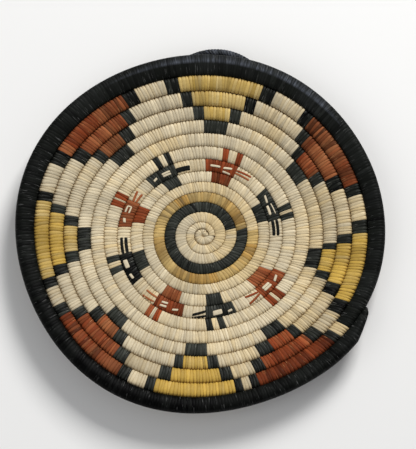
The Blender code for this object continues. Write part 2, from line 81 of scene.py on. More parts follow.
# Waves round the circle: number of crests, height in millimetres, angle of a crest in degrees. The
# middle waves' share along the coil is a cubic whose peak the factor makes 1.
WAVES = ((1, 1.86, 64), (2, 2.37, 3), (3, 0.95, 5), (4, 1.35, -23))
MIDDLE_WAVES = ((1, 1.05, -121.3), (2, 0.8, 22.4), (3, 0.44, -42.8), (4, 0.4, 21.8))
MIDDLE_PEAK = 27 / 4
RIM_WAVES = ((1, 2.1, 104),)
FLAT_RADIUS = 50.0 * MM
DISH_RISE = 17.0 * MM
COIL_THICKNESS = 9.0 * MM
RIM_THICKNESS = 11.0 * MM
SLOPE_STEP = 0.02
WALL = 1.0 * MM
BUNDLE_CLEARANCE = 0.45 * MM
RIM_START = 12.905
RIM_EXTRA = 1.8 * MM
SWELL_START = 12.93
SWELL_TURNS = 0.12
TIP_TURNS = (13.872, 13.900, 13.912, 13.926, LAST_TURN)
TIP_SHARES = (1.0, 0.92, 0.66, 0.38, 0.16)
BUNDLE_END = 13.905

# Turns at which each sleeve of wrapping begins and ends
SLEEVES = {
    "centre_rounds": (0.0, 2.035), "black_ring": (2.035, 3.026), "gold_ring": (3.026, 4.017),
    "inner_cream_round": (4.017, 4.966), "figure_neck_round": (4.966, 5.966),
    "figure_head_round": (5.966, 6.966), "figure_crest_round": (6.966, 7.936),
    "outer_cream_round": (7.936, 8.936), "star_tip_round": (8.936, 9.925),
    "star_second_round": (9.925, 10.92), "star_third_round": (10.92, 11.906),
    "star_base_round": (11.906, RIM_START), "black_rim": (RIM_START, LAST_TURN),
}
PLAIN_NODES = ("centre_rounds", "black_ring", "gold_ring", "inner_cream_round", "outer_cream_round")
FIGURE_NODES = ("figure_neck_round", "figure_head_round", "figure_crest_round")
STAR_NODES = ("star_tip_round", "star_second_round", "star_third_round", "star_base_round")
NECK_ROUND, HEAD_ROUND, CREST_ROUND = 5, 6, 7
STAR_ROUNDS = (9, 10, 11, 12)

# Stitched heads, in degrees: colour, beak start, head start, head end, neck end, and where the
# crest's stripes start and end
FIGURES = (
    ("black", -1, 12.3, 37.3, 30.1, ((10.9, 14.9), (16.9, 20.9))),
    ("red", 50, 63.1, 88, 82, ((63.1, 67.1), (72.6, 76.6))),
    ("black", 100, 111.9, 135.1, 127, ((111.9, 115.9), (119.5, 123.5))),
    ("red", 145.2, 153.4, 173.8, 168.8, ((152.2, 156.2), (157.3, 161.3))),
    ("black", 181, 193.2, 215.4, 209.9, ((193.2, 197.2), (200.3, 204.3))),
    ("red", 224.3, 234.2, 255.6, 250.3, ((233.6, 236.9), (239, 242.4))),
    ("black", 262.3, 271.9, 293.1, 286.3, ((271.9, 275.9), (279.6, 283.6))),
    ("red", 302.9, 313.7, 334.6, 331.6, ((313.7, 317.7), (319.6, 323.6))),
)
NECK_INSET = 0.8

# Splints laid on each head. A bar is its start and end, as shares of the head's length, then its
# place at the start and at the end and its half height, as shares of the coil's half width.
EYE_BARS = (
    ((0.185, 0.53, -0.37, -0.3, 0.2), (0.18, 0.55, 0.46, 0.32, 0.09)),
    ((0.12, 0.43, -0.74, -0.64, 0.15), (0.13, 0.43, 0.2, -0.1, 0.17)),
    ((0.2, 0.52, -0.33, -0.25, 0.17), (0.2, 0.52, 0.06, 0.1, 0.17)),
    ((0.22, 0.49, -0.08, -0.06, 0.13), (0.22, 0.49, 0.5, 0.5, 0.14), (0.205, 0.26, 0.2, 0.2, 0.32)),
    ((0.2, 0.5, 0.36, 0.3, 0.34),),
    ((0.2, 0.44, -0.12, -0.3, 0.17), (0.2, 0.44, 0.46, 0.26, 0.17)),
    ((0.234, 0.577, 0.34, 0.22, 0.4),),
    ((0.17, 0.49, -0.18, -0.18, 0.21), (0.17, 0.49, 0.24, 0.24, 0.2)),
)
BROW_BARS = (
    (0.585, 0.855, -0.12, 0.18, 0.17),
    (0.51, 0.86, -0.06, -0.04, 0.17),
    (0.7, 0.86, 0.02, -0.14, 0.18),
    (0.68, 0.85, 0.36, 0.16, 0.22),
    (0.68, 0.87, 0.45, 0.34, 0.2),
    (0.63, 0.84, 0.36, 0.12, 0.17),
    (0.745, 0.91, 0.5, 0.4, 0.18),
    (0.61, 0.84, 0.32, -0.04, 0.2),
)
BEAK_TONES = {"black": 0.25, "red": 0.7}
# Halves of the beaks: their place at the tip and at the head, and their half height
BEAK_BARS = {
    "upper": (
        (0.33, 0.33, 0.22), (0.6, 0.22, 0.15), (-0.1, -0.08, 0.22), (0.5, 0.1, 0.18),
        (0.35, 0.35, 0.22), (0.87, 0.52, 0.15), (0.98, 0.62, 0.2), (0.72, 0.12, 0.17),
    ),
    "lower": (
        (-0.31, -0.31, 0.24), (-0.02, -0.22, 0.15), (-0.46, -0.46, 0.22), (-0.38, -0.34, 0.18),
        (-0.3, -0.3, 0.24), (-0.14, -0.26, 0.15), (0.5, -0.15, 0.21), (-0.62, -0.18, 0.17),
    ),
}
BEAK_END_CLEARANCE = 0.6

# Stepped stars, in degrees: colour, where each round's step starts, where each round's step ends
STARS = (
    ("yellow", (342.6, 338.9, 333.7, 328.1), (352.8, 355.7, 359.6, 364.5)),
    ("red", (28.5, 23.8, 18, 13.8), (39.2, 42.7, 46.6, 50.6)),
    ("yellow", (77.5, 72.5, 67.9, 62.8), (89.5, 94.5, 99, 104.1)),
    ("red", (129.6, 124.2, 120.2, 115.2), (140.3, 144.5, 149.7, 155)),
    ("yellow", (176.6, 172.1, 168.7, 165.3), (187.8, 192.6, 196.8, 200.5)),
    ("red", (220.1, 215.2, 211.4, 207.1), (229.4, 234.4, 239.4, 243.4)),
    ("yellow", (261.4, 257.6, 252.9, 249.6), (271.9, 276.7, 281.4, 284.2)),
    ("red", (300.8, 294.4, 290, 287.1), (310.5, 314.3, 319.1, 321.9)),
)
FIRST_STAR_SPLIT = 326

# Lots of splints, each how much lighter than the mean and how far it turns to the colour's other
# hue. The gold ring's lots have their start in degrees before it; each star has a lot in each of
# its three rounds, each head has one, and so has the crest of the red heads.
GOLD_LOTS = np.array((
    (0, -0.05, 0.8), (20, -0.3, 0.2), (60, -0.1, 0.6), (110, -0.2, 0.0), (130, -0.1, 0.9),
    (160, 0.1, 1.0), (170, 0.4, 1.0), (180, 0.0, 0.6), (210, 0.4, 0.9), (230, 0.0, 0.3),
    (280, 0.0, 0.0), (290, 0.2, 0.5), (330, -0.2, 0.0), (350, 0.2, 0.9),
))
STAR_LOTS = np.array((
    ((0.1, 0), (0.1, 0), (0.1, -0.5)), ((0.25, 0.55), (-0.15, 0.5), (-0.25, 0.5)),
    ((0.1, 0.2), (0.05, 0.5), (0, 0.5)), ((-0.2, 0.8), (0.25, 0.4), (0, 0.2)),
    ((-0.1, 0.4), (0.05, 0), (-0.1, 0.2)), ((-0.05, 0.7), (0.1, 0.1), (0.05, -0.2)),
    ((-0.1, -0.4), (-0.05, -0.5), (0.1, -0.4)), ((0.75, 0.1), (0.1, -0.5), (-0.4, -0.5)),
))
HEAD_LOTS = np.array((
    (-0.4, 0), (0, 0), (-0.1, 0), (0, 0), (-0.8, 0), (0.15, 0), (-0.25, 0), (0.5, 0),
))
CREST_LOT = (0.5, -0.3)
BLACK_RING_LOT = (0.2, 0.0)
STAR_BLACK_TONES = (0.0, -0.2, -0.4, -0.55)
# The middle's cream and the stars' cream are warmer on one side. The stars' cream has painted light
# and shade: it is darker towards the rim, and by angle it is paler on one side in its inner two rounds
# and darker there in its outer two. The rim has painted shade, darkest away from the light. Each has the
# angle where that is most.
WARM_NODES = ("centre_rounds", "inner_cream_round")
WARM_LOT = (-0.04, 0.7)
WARM_ANGLE, WARM_POWER = 20, 1.3
# Painted shade: the stars' cream is darker round by round towards the rim
STAR_CREAM_SHADE_TONES = (-0.02, -0.12, -0.12, -0.14)
STAR_CREAM_WARMTH = 0.42
STAR_WARM_ANGLE = -15
# Painted light and shade by angle round the dish, round by round
STAR_CREAM_PAINTED_LIGHT = (0.06, 0.1, -0.07, -0.07)
STAR_PAINTED_LIGHT_ANGLE = 208
# Painted shade: the rim's tone falls away from the light, most at the angle given
RIM_PAINTED_SHADE = (-0.85, 0.0)
RIM_SHADE_ANGLE, RIM_SHADE_POWER = 235, 3

# Hanging loop under the rim
LOOP_TURN = 13
LOOP_ANGLE = math.radians(84.7)
LOOP_RADIUS = 3.2 * MM
LOOP_HALF_SPAN = 35.0 * MM
LOOP_CROWN = 1.3 * MM
LOOP_DROP = 4.4 * MM
LOOP_DROP_SPAN = 23.5 * MM
LOOP_WALL = 0.8 * MM
LOOP_SEAT_GAP = 0.35 * MM
LASHING_PLACE = 30.0 * MM
LASHING_THICKNESS = 0.9 * MM
LASHING_WIDTH = 6.0 * MM
LASHING_TOP_GAP = 0.3 * MM

# How a stitch is cut into rows along the coil, and how deep the groove and the tooth are at each row
STITCH_ROWS = np.array((0.0, 0.13, 0.5, 0.87))
ROW_DEPTHS = np.array((1.0, 0.16, 0.0, 0.16))
TOOTH_DEPTHS = np.array((1.0, 0.5, 0.0, 0.5))
ROWS_PER_STITCH = len(STITCH_ROWS)
# The painted shade of the grooves shows at least this much all round the coil
LEAST_GROOVE = 0.7
# Points at which a stretch's length is measured, and how many seeds for its draws lie in a turn
RULER_POINTS, SEEDS_PER_TURN = 65, 1000
# How unlike the stitches are: their widths, tilts, the cut of their grooves and how proud they stand
WIDTH_SPREAD, WIDTH_LIMIT = 0.75, 1.6
TILT_SPREAD = 0.8
CUT_RANGE = (0.6, 1.3)
FIRST_CUT, FIRST_STITCHES = 0.35, 3
PROUD = 0.07 * MM
# Lean of the stitches along the coil: its middle, then the height, waves in a turn and shift of waves
LEAN_MIDDLE, LEAN_WAVES = 0.5, ((0.3, 1.7, 0.6), (0.2, 5.3, 0.0))
# Spread of tone and hue from lot to lot and from stitch to stitch
LOT_SPREAD = (0.055, 0.1)
STITCH_SPREAD = (0.085, 0.08)
LOT_COUNTS = (5, 15)
PLAIN_DYE = 0.5

# Section of the coil, from its outer side over the top to its inner side and under: shares of the
# half width and half thickness, share of the groove (its depth and its painted shade), share of the
# tooth, share of the painted shade in the seam
SECTION = np.array((
    (1, -0.36, 0.1, 0, 1), (1, 0.36, 0.2, 0.3, 1), (0.95, 0.66, 1, 1, 0.6), (0.78, 0.87, 1, 0.5, 0),
    (0.42, 0.975, 0.85, 0, 0), (0, 1, 0.75, 0, 0), (-0.42, 0.975, 0.85, 0, 0), (-0.78, 0.87, 1, 0.15, 0),
    (-0.95, 0.66, 1, 0.6, 0.6), (-1, 0.36, 0.2, 0.2, 1), (-1, -0.36, 0.1, 0, 1),
    (-0.62, -0.96, 1, 0, 0), (0.62, -0.96, 1, 0, 0),
))
OUTER_SIDE, TOP, INNER_SIDE = slice(0, 5), slice(1, 6), slice(6, 11)
# The rim's free side is rounder, and the rounds of the middle are sewn tighter against each other
RIM_SIDE = np.array(((0.96, -0.36), (1, 0.08), (0.94, 0.46), (0.7, 0.8), (0.42, 0.95)))
TIGHT_SIDE = np.array(((1, -0.36), (1, 0.74), (0.972, 0.87), (0.85, 0.955), (0.43, 0.99)))
MAP_HALF_WIDTH = 5.2 * MM
# Shares that a round of the coil has of the stitch width, of the tight section, and of the groove
# (its depth and its painted shade), the tooth and the painted shade in the seam
NODE_SHARES = {
    "centre_rounds": (0.92, 1, 0.75, 0.65, 0.35), "black_ring": (1, 1, 1, 1, 0.5),
    "gold_ring": (1.08, 1, 0.85, 0.9, 0.35), "inner_cream_round": (1, 1, 1, 0.7, 0.4),
    "figure_neck_round": (1, 0.7, 1, 1, 0.4), "figure_head_round": (1.08, 0.6, 1, 1.1, 0.6),
    "figure_crest_round": (1.05, 0.6, 1, 1.1, 0.6), "outer_cream_round": (1, 0.6, 1, 1.1, 0.5),
    "star_tip_round": (1.02, 0.3, 1, 1.2, 0.7), "star_second_round": (1, 0, 1, 1.3, 0.9),
    "star_third_round": (1.1, 0, 1, 1.3, 1), "star_base_round": (1.13, 0, 1, 1.3, 1),
    "black_rim": (1.06, 0, 0.55, 0.4, 1),
}
ROUND_TOUCH = -0.04 * MM
# Painted highlight: a bluish sheen painted on the rim beside the hanging loop, in place of a
# reflection of the light. It is most on a ridge, less outside it and not at all inside, rising and fading
# between the angles given. The loop has an even painted sheen all over.
SHEEN_SIDES = (0.0, 0.42, 0.7, 1.0)
SHEEN_SHARES = (0.0, 1.0, 0.62, 0.56)
SHEEN_RISE, SHEEN_FADE = (25, 52), (85, 160)
LOOP_SHEEN = 0.95

# The curled start: its stitches, its profile as shares of radius and of half thickness, and its slit
KNOT_STITCHES = 15
KNOT_TURNS = 0.9955
KNOT_REACH = np.array((0.06, 0.13, 0.24, 0.4, 0.56, 0.72, 0.86, 0.95, 1.0, 0.985, 0.9, 0.72, 0.4, 0.06))
KNOT_LEVEL = np.array((
    0.34, 0.56, 0.78, 0.93, 1.0, 0.98, 0.84, 0.6, 0.2, -0.3, -0.72, -0.95, -1.0, -1.0))
KNOT_GROOVE, KNOT_LAST_DEPTH, KNOT_MAP = 0.7, 0.4, 8 * MM
# Reaches between which its grooves' painted shade grows, from the pit and once more to the side, and
# their depth on its top; between which the pit's painted shade fades and the painted shade at the
# side grows. Past the side's reach a groove cuts inwards, and above the crest's level it cuts down.
KNOT_TINT, KNOT_FULL_TINT, KNOT_CUT = (0.0, 0.4), (0.5, 1.0), (0.1, 0.4)
KNOT_PIT, KNOT_DARK_SIDE = (0.1, 0.3), (0.93, 1.0)
KNOT_SIDE_REACH, KNOT_CREST_LEVEL = 0.8, 0.5
SLIT_ENDS = np.array(((0.8, 3.5), (5.0, 3.3))) * MM
SLIT_DEPTH = 1.6 * MM
SLIT_EDGES = (0.25 * MM, 0.9 * MM)

# Lobes of the grass bundles: sides of the tube, number of stems, depth and how they wind
COIL_STEMS = (18, 9, 0.07, 18.9)
LOOP_STEMS = (14, 7, 0.08, 40)
# The coil's bundle: its gap at each end and its step, in turns, and the width of its map. The loop's
# bundle: its share of the loop's span, and its points.
BUNDLE_GAPS, BUNDLE_STEP, BUNDLE_MAP = (0.004, 0.002), 1 / 60, 3 * MM
LOOP_BUNDLE_SHARE, LOOP_BUNDLE_POINTS = 0.99, 41

# Wraps of the hanging loop: their width in stitches, their lean in wraps and how far from the feet
# it sets in, how proud they stand, and the points at which the loop's course is worked out
LOOP_WRAP_WIDTH, LOOP_LEAN, LOOP_LEAN_RUN = 1.02, 0.7, 4 * MM
LOOP_PROUD, LOOP_COURSE_POINTS = 0.06 * MM, 241
LOOP_SEED, LASHING_SEED = 5, 9

# A laid splint's section, as shares of its half height and of its thickness, and how its ends dive
BAR_ROWS = 15
BAR_ACROSS = np.array((-1.0, -0.8, -0.3, 0.3, 0.8, 1.0, 0.6, -0.6))
BAR_LIFT = np.array((0.35, 0.8, 1.0, 1.0, 0.8, 0.35, -0.2, -0.2)) * 0.42 * MM
BAR_TAPER, BAR_TAPER_POWER, BAR_END = 0.25, 6, 0.84
BAR_DIVE = 0.9 * MM
BAR_CLEARANCE = 0.04 * MM
# Its long edges and how much painted shade they get, where its ends begin to get painted shade as
# they dive, and the width of its map
BAR_EDGE, BAR_EDGE_GROOVE, BAR_END_GROOVE = 0.9, 0.6, (0.86, 1.0)
BAR_MAP = 0.5 * MM

# A lashing's section: a ridge for each of its three splints, with grooves at the heights between
LASHING_RIDGE = np.array((0.55, 0.95, 0.95, 0.6, 0.95, 0.95, 0.6, 0.95, 0.95, 0.55, 0.0, 0.0))
LASHING_ACROSS = np.array((-3.0, -2.6, -1.4, -1.0, -0.6, 0.6, 1.0, 1.4, 2.6, 3.0, 2.9, -2.9)) / 3
LASHING_STEPS = 19
# Heights of the lashing's section that get painted shade, between its ridges
LASHING_GROOVE = (0.5, 0.7)

# For each splint: tone change from stitch to stitch, the hue that some stitches lean to, the colours
# of the painted shade in the grooves and in the seams, roughness, how far broad stains change the
# colour, and gloss
FINISHES = {
    "cream": (0.46, (0.565, 0.43, 0.222), (0.27, 0.185, 0.095), (0.36, 0.22, 0.088), 0.58, 0.28, 0.3),
    "black": (1.5, (0.036, 0.038, 0.031), (0.003, 0.003, 0.003), (0.005, 0.0045, 0.004), 0.48, 0.2, 0.09),
    "rim": (1.2, (0.013, 0.014, 0.013), (0.0015, 0.0015, 0.0015), (0.003, 0.003, 0.003), 0.5, 0.2, 0.05),
    "gold": (1.1, (0.36, 0.245, 0.085), (0.19, 0.11, 0.04), (0.10, 0.058, 0.024), 0.56, 0.4, 0.25),
    "red": (1.4, (0.24, 0.088, 0.033), (0.040, 0.010, 0.005), (0.030, 0.010, 0.006), 0.58, 0.3, 0.07),
    "yellow": (0.6, (0.48, 0.355, 0.14), (0.27, 0.14, 0.03), (0.16, 0.065, 0.018), 0.56, 0.3, 0.2),
    "white": (0.2, (0.56, 0.48, 0.34), (0.20, 0.13, 0.07), (0.07, 0.04, 0.02), 0.5, 0.15, 0.3),
    "grass": (0.3, (0.28, 0.20, 0.09), (0.10, 0.065, 0.03), (0.05, 0.03, 0.015), 0.75, 0.3, 0.2),
}
# Fine hairs along the leaf: their colour, and how high the noise must be for one. On black and on
# the rim the pale hairs are partly real pale fibres and partly painted glints on the stitches' edges
HAIRS_AND_GLINTS = {
    "cream": ((0.34, 0.24, 0.13), 0.66), "black": ((0.14, 0.14, 0.12), 0.62),
    "rim": ((0.13, 0.13, 0.125), 0.645), "gold": ((0.20, 0.11, 0.035), 0.64),
    "red": ((0.40, 0.19, 0.08), 0.63), "yellow": ((0.28, 0.14, 0.035), 0.64),
    "white": ((0.30, 0.22, 0.13), 0.68), "grass": ((0.12, 0.08, 0.03), 0.6),
}
# Bluish-grey colour of the painted highlight on the rim and the loop, in place of a reflection
PAINTED_SHEEN_COLOUR = (0.105, 0.115, 0.138)
# Size of the streaks and hairs along the leaf, of the stains and of the specks
STREAK_SCALE, HAIR_SCALE = (5200.0, 260.0, 1.0), (1500.0, 100.0, 1.0)
STAIN_SCALE, STAIN_ROUGHNESS, SPECK_SCALE = 34.0, 0.55, 420.0
# Ranges of a share and of the noises, and what the materials turn them into: light of streaks,
# specks and stains, hue, the painted highlight of the rim, painted shade in grooves and seams, hairs
# (on black partly painted glints), gloss and bump
SHARE, NOISE_RANGE, SPECK_RANGE = (0.0, 1.0), (0.3, 0.7), (0.35, 0.65)
STREAK_LIGHT, SPECK_LIGHT, STAIN_DARK, STAIN_LIGHT = (0.86, 1.12), (0.94, 1.05), 0.4, 0.3
HUE_RANGE = (0.4, 0.9)
SHEEN_RANGE, SHEEN_BY_HAIR, SHEEN_BY_STRANDS = (0.42, 0.95), (0.25, 1.0), (0.4, 0.6, 0.2, 1.0)
GROOVE_POWER, GROOVE_SHADE_SHARE, GROOVE_ROUGHNESS = 1.6, 0.85, 0.2
SEAM_BY_GROOVE = (0.0, 0.6, 0.25, 1.0)
HAIR_EDGE, HAIR_SHARE = 0.07, 0.85
SMOOTHEST, ROUGHEST = 0.08, 0.12
SPECK_HEIGHT, BUMP_STRENGTH, BUMP_DISTANCE = 0.4, 0.35, 0.2 * MM

# Stage: the photograph's size and the plaque's middle in it, in pixels, and where the lamps stand
PICTURE_SIZE = (416, 449)
PLAQUE_PIXEL = (203, 236.5)
LAMPS = (("key_lamp", (0.87, 1.78, 1.68), 0.95), ("fill_lamp", (-0.95, -0.75, 1.35), 1.6))
FLOOR_SIDES, FLOOR_RADIUS, FLOOR_GAP, FLOOR_ROUGHNESS = 96, 6.0, 0.2 * MM, 0.85
SENSOR_HEIGHT, CAMERA_REACH = 24.0, 30.0
LIGHT_COLOUR, LIGHT_STRENGTH = (0.92, 0.95, 1.0), 0.31
BACKDROP_COLOUR = (0.86, 0.85, 0.83)

# A section of the coil, with the seam outside it, and a place on a seam
Place = namedtuple("Place", "centre across up half_width half_thickness outer")
Edge = namedtuple("Edge", "point out up thickness")
length_property = partial(bpy.props.FloatProperty, unit="LENGTH", subtype="DISTANCE", precision=5)
colour_property = partial(bpy.props.FloatVectorProperty, subtype="COLOR", size=3)


class PlaqueStitches(bpy.types.PropertyGroup):
    """Sizes of the stitches that wrap the coil."""

    width: length_property(
        name="Stitch width", description="Width of one splint along the coil", default=2.35 * MM,
        min=1 * MM, max=6 * MM)
    groove: length_property(
        name="Groove depth", description="Depth of the groove between two stitches",
        default=0.30 * MM, min=0.0, max=1 * MM)
    tooth: length_property(
        name="Tooth depth", description="Extra depth of the groove at the outer side of a round",
        default=0.48 * MM, min=0.0, max=1 * MM)
    slant: bpy.props.FloatProperty(
        name="Slant", description="Lean of the stitches across the coil, in stitch widths",
        default=0.3, min=-2.0, max=2.0)
    uneven: bpy.props.FloatProperty(
        name="Unevenness", description="How much one stitch differs from the next, as a share",
        default=0.2, min=0.0, max=0.5, subtype="FACTOR")
    seed: bpy.props.IntProperty(
        name="Seed", description="Start of the repeatable random row", default=29)


class PlaqueColours(bpy.types.PropertyGroup):
    """Colours of the splints and of the grass, as linear values."""

    cream: colour_property(name="Cream", description="Undyed leaf", default=(0.582, 0.492, 0.330))
    black: colour_property(
        name="Black", description="Black dyed leaf", default=(0.0160, 0.0174, 0.0134))
    rim: colour_property(
        name="Rim", description="Black dyed leaf of the rim, darker than the rest",
        default=(0.0061, 0.0069, 0.0056))
    gold: colour_property(name="Gold", description="Gold dyed leaf", default=(0.40, 0.222, 0.046))
    red: colour_property(name="Red", description="Red-brown dyed leaf", default=(0.155, 0.031, 0.0088))
    yellow: colour_property(name="Yellow", description="Yellow dyed leaf", default=(0.44, 0.28, 0.050))
    white: colour_property(name="White", description="Bleached leaf", default=(0.61, 0.52, 0.36))
    grass: colour_property(name="Grass", description="Grass of the bundle", default=(0.36, 0.27, 0.13))


class PlaqueStage(bpy.types.PropertyGroup):
    """Camera, lamps and floor."""

    elevation: bpy.props.FloatProperty(
        name="Camera elevation", description="Angle of the camera above the floor",
        default=math.radians(78), unit="ROTATION", subtype="ANGLE")
    distance: length_property(
        name="Camera distance", description="Distance from the camera to the plaque", default=2.4)
    frame_height: length_property(
        name="Frame height", description="Height of what the picture shows at the plaque",
        default=0.3772)
    key: bpy.props.FloatProperty(
        name="Key lamp", description="Power of the soft lamp at the far side", default=72.0,
        unit="POWER")
    fill: bpy.props.FloatProperty(
        name="Fill lamp", description="Power of the wide lamp overhead", default=8.0, unit="POWER")
    floor: colour_property(name="Floor", description="Colour of the floor", default=(0.80, 0.79, 0.77))


# The coil's own shape


def spiral_table():
    """Turns and the pitch summed up to each: the running sum of the mean pitch times the step."""
    turns = np.linspace(*SUM_SPAN, SUM_POINTS)
    pitches = np.interp(turns, PITCH_TURNS, PITCHES)
    sums = np.concatenate(((0.0,), np.cumsum((pitches[1:] + pitches[:-1]) / 2 * np.diff(turns))))
    return turns, sums - np.interp(0.0, turns, sums)


SPIRAL_TURNS, SPIRAL_SUMS = spiral_table()


def round_radius(turn):
    """Mean radius of the seam inside a turn: the start radius plus the pitches summed up to it."""
    return START_RADIUS + np.interp(turn, SPIRAL_TURNS, SPIRAL_SUMS)


def wave_sum(waves, angle):
    """Sum of the waves' heights at an angle."""
    return sum(height * MM * np.cos(count * (angle - math.radians(crest)))
               for count, height, crest in waves)


def dish_share(turn):
    """How far a seam lies from the edge of the flat centre to the rim, from 0 to 1."""
    return np.maximum(0.0, (round_radius(turn) - FLAT_RADIUS) / (round_radius(LAST_TURN) - FLAT_RADIUS))


def coil_thickness(turn):
    """Thickness of the coil: even over the flat centre, then growing to the rim's."""
    return COIL_THICKNESS + (RIM_THICKNESS - COIL_THICKNESS) * dish_share(turn)


def seam_profile(turn, angle):
    """Plan radius and middle height of a seam: the round radius plus its waves, and a parabola."""
    share = np.clip(turn / LAST_TURN, 0, 1)
    radius = round_radius(turn) + wave_sum(WAVES, angle) * turn / LAST_TURN
    radius = radius + wave_sum(MIDDLE_WAVES, angle) * MIDDLE_PEAK * share ** 2 * (1 - share)
    return radius, coil_thickness(turn) / 2 + DISH_RISE * dish_share(turn) ** 2


def unit(vectors):
    """Vectors of length 1."""
    return vectors / np.linalg.norm(vectors, axis=-1, keepdims=True)


def seam(turn, angle):
    """The seam between two rounds: its point, the way out along the dish and the way up from it."""
    zero = np.zeros_like(angle)
    radial = np.stack((np.cos(angle), np.sin(angle), zero), -1)
    vertical = np.stack((zero, zero, zero + 1.0), -1)
    radius, height = seam_profile(turn, angle)
    far, near = seam_profile(turn + SLOPE_STEP, angle), seam_profile(turn - SLOPE_STEP, angle)
    run, climb = far[0] - near[0], far[1] - near[1]
    length = np.hypot(run, climb)
    run, climb = (run / length)[..., None], (climb / length)[..., None]
    return Edge(radius[..., None] * radial + height[..., None] * vertical,
                run * radial + climb * vertical, run * vertical - climb * radial, coil_thickness(turn))


def ring(turn):
    """Section of the coil at each turn, between the seam inside it and the seam outside it."""
    angle = FULL_TURN * turn
    inner, outer = seam(turn, angle), seam(turn + 1, angle)
    share = np.interp(turn, TIP_TURNS, TIP_SHARES)
    swell = np.clip((turn - SWELL_START) / SWELL_TURNS, 0, 1) * (RIM_EXTRA + wave_sum(RIM_WAVES, angle))
    width = share * (np.linalg.norm(outer.point - inner.point, axis=-1) + swell)
    rim = (turn > RIM_START)[..., None]
    outer = Edge(
        np.where(rim, inner.point + width[..., None] * inner.out, outer.point),
        np.where(rim, inner.out, outer.out), np.where(rim, inner.up, outer.up),
        np.where(rim[..., 0], inner.thickness, outer.thickness))
    span = outer.point - inner.point
    across = unit(span)
    up = inner.up + outer.up
    up = unit(up - across * np.sum(up * across, -1, keepdims=True))
    return Place((inner.point + outer.point) / 2, across, up, np.linalg.norm(span, axis=-1) / 2,
                 share * (inner.thickness + outer.thickness) / 4, outer)


def beside(place, wide, high):
    """Points at distances across and up from the centre of a section."""
    return place.centre + wide[..., None] * place.across + high[..., None] * place.up


def section_of(node):
    """The section's table for one sleeve, with its own sides and its own share of dark seam."""
    section = SECTION.copy()
    tight = NODE_SHARES[node][1]
    section[OUTER_SIDE, :2] += tight * (TIGHT_SIDE - section[OUTER_SIDE, :2])
    section[INNER_SIDE, :2] += tight * (TIGHT_SIDE[::-1] * (-1, 1) - section[INNER_SIDE, :2])
    if node == "black_rim":
        section[OUTER_SIDE, :2] = RIM_SIDE
    section[:, 2:] *= NODE_SHARES[node][2:]
    return section


def section_top(side):
    """Height of the section's top at a share of the half width, as a share of the half thickness."""
    top = SECTION[TOP][::-1]
    return np.interp(np.abs(side), top[:, 0], top[:, 1])


def smooth(low, high, value):
    """Smooth step from 0 at low to 1 at high."""
    share = np.clip((value - low) / (high - low), 0, 1)
    return share * share * (3 - 2 * share)


def run_length(points):
    """Length summed up along a row of points, from 0."""
    return np.concatenate(((0.0,), np.cumsum(np.linalg.norm(np.diff(points, axis=0), axis=1))))


def circle(count):
    """Angles evenly round a circle."""
    return np.linspace(0, FULL_TURN, count, endpoint=False)


# Meshes


class Patch:
    """Points and faces of one stretch, with what the materials read on them: a dye for each face,
    and for each point its shares of painted shade in the groove and in the seam, and of the rim's
    painted highlight. Points that share a crease number make a sharp edge, and extra holds the faces
    with more than four points."""

    def __init__(self, points, quads, uv, dye=PLAIN_DYE, groove=0.0, seam=0.0, wear=0.0, crease=-1,
                 extra=()):
        self.points, self.quads, self.uv, self.extra = points.reshape(-1, 3), quads, uv, extra
        self.dye = np.zeros((len(quads), 3)) + dye
        zeros = np.zeros(len(self.points))
        self.groove, self.seam, self.wear = (zeros + np.ravel(share) for share in (groove, seam, wear))
        self.crease = zeros.astype(int) + crease

    def close(self, quads, extra):
        """Add end faces, which have no place in the splints' pattern."""
        self.quads = np.concatenate((self.quads, quads))
        self.uv = np.concatenate((self.uv, np.zeros((len(quads), 4, 2))))
        self.dye = np.concatenate((self.dye, np.full((len(quads), 3), PLAIN_DYE)))
        self.extra = extra
        return self


def joined(patches):
    """Patches as one, with their point and crease numbers counted on from each to the next."""
    starts = np.cumsum([0] + [len(patch.points) for patch in patches])
    tops = np.cumsum([0] + [patch.crease.max() + 2 for patch in patches])
    points, uv, dye, groove, seams, wear = (
        np.concatenate([getattr(patch, key) for patch in patches])
        for key in ("points", "uv", "dye", "groove", "seam", "wear"))
    quads = np.concatenate([patch.quads + start for patch, start in zip(patches, starts)])
    crease = np.concatenate([np.where(patch.crease < 0, -1, patch.crease + top)
                             for patch, top in zip(patches, tops)])
    extra = [tuple(int(i + start) for i in face)
             for patch, start in zip(patches, starts) for face in patch.extra]
    return Patch(points, quads, uv, dye, groove, seams, wear, crease, extra)


def cells_of(grid, flip=False):
    """The values at the four corners of every cell of a grid, row by row."""
    cells = np.stack((grid[:-1, :-1], grid[1:, :-1], grid[1:, 1:], grid[:-1, 1:]), 2)
    cells = cells.reshape(-1, 4, *grid.shape[2:])
    return cells[:, ::-1] if flip else cells


def grid_quads(rows, columns, closed, flip=False):
    """Four point numbers for every cell of a grid; closed joins the last column on."""
    grid = np.arange(rows * columns).reshape(rows, columns)
    return cells_of(np.append(grid, grid[:, :1], axis=1) if closed else grid, flip)


def grid_uv(along, around, flip=False):
    """The along and around values at the four corners of every cell of a grid."""
    return cells_of(np.stack(np.meshgrid(along, around, indexing="ij"), -1), flip)


def fill(layer, key, values):
    """Put values into a mesh's layer."""
    layer.data.foreach_set(key, values.astype(np.float32).ravel())


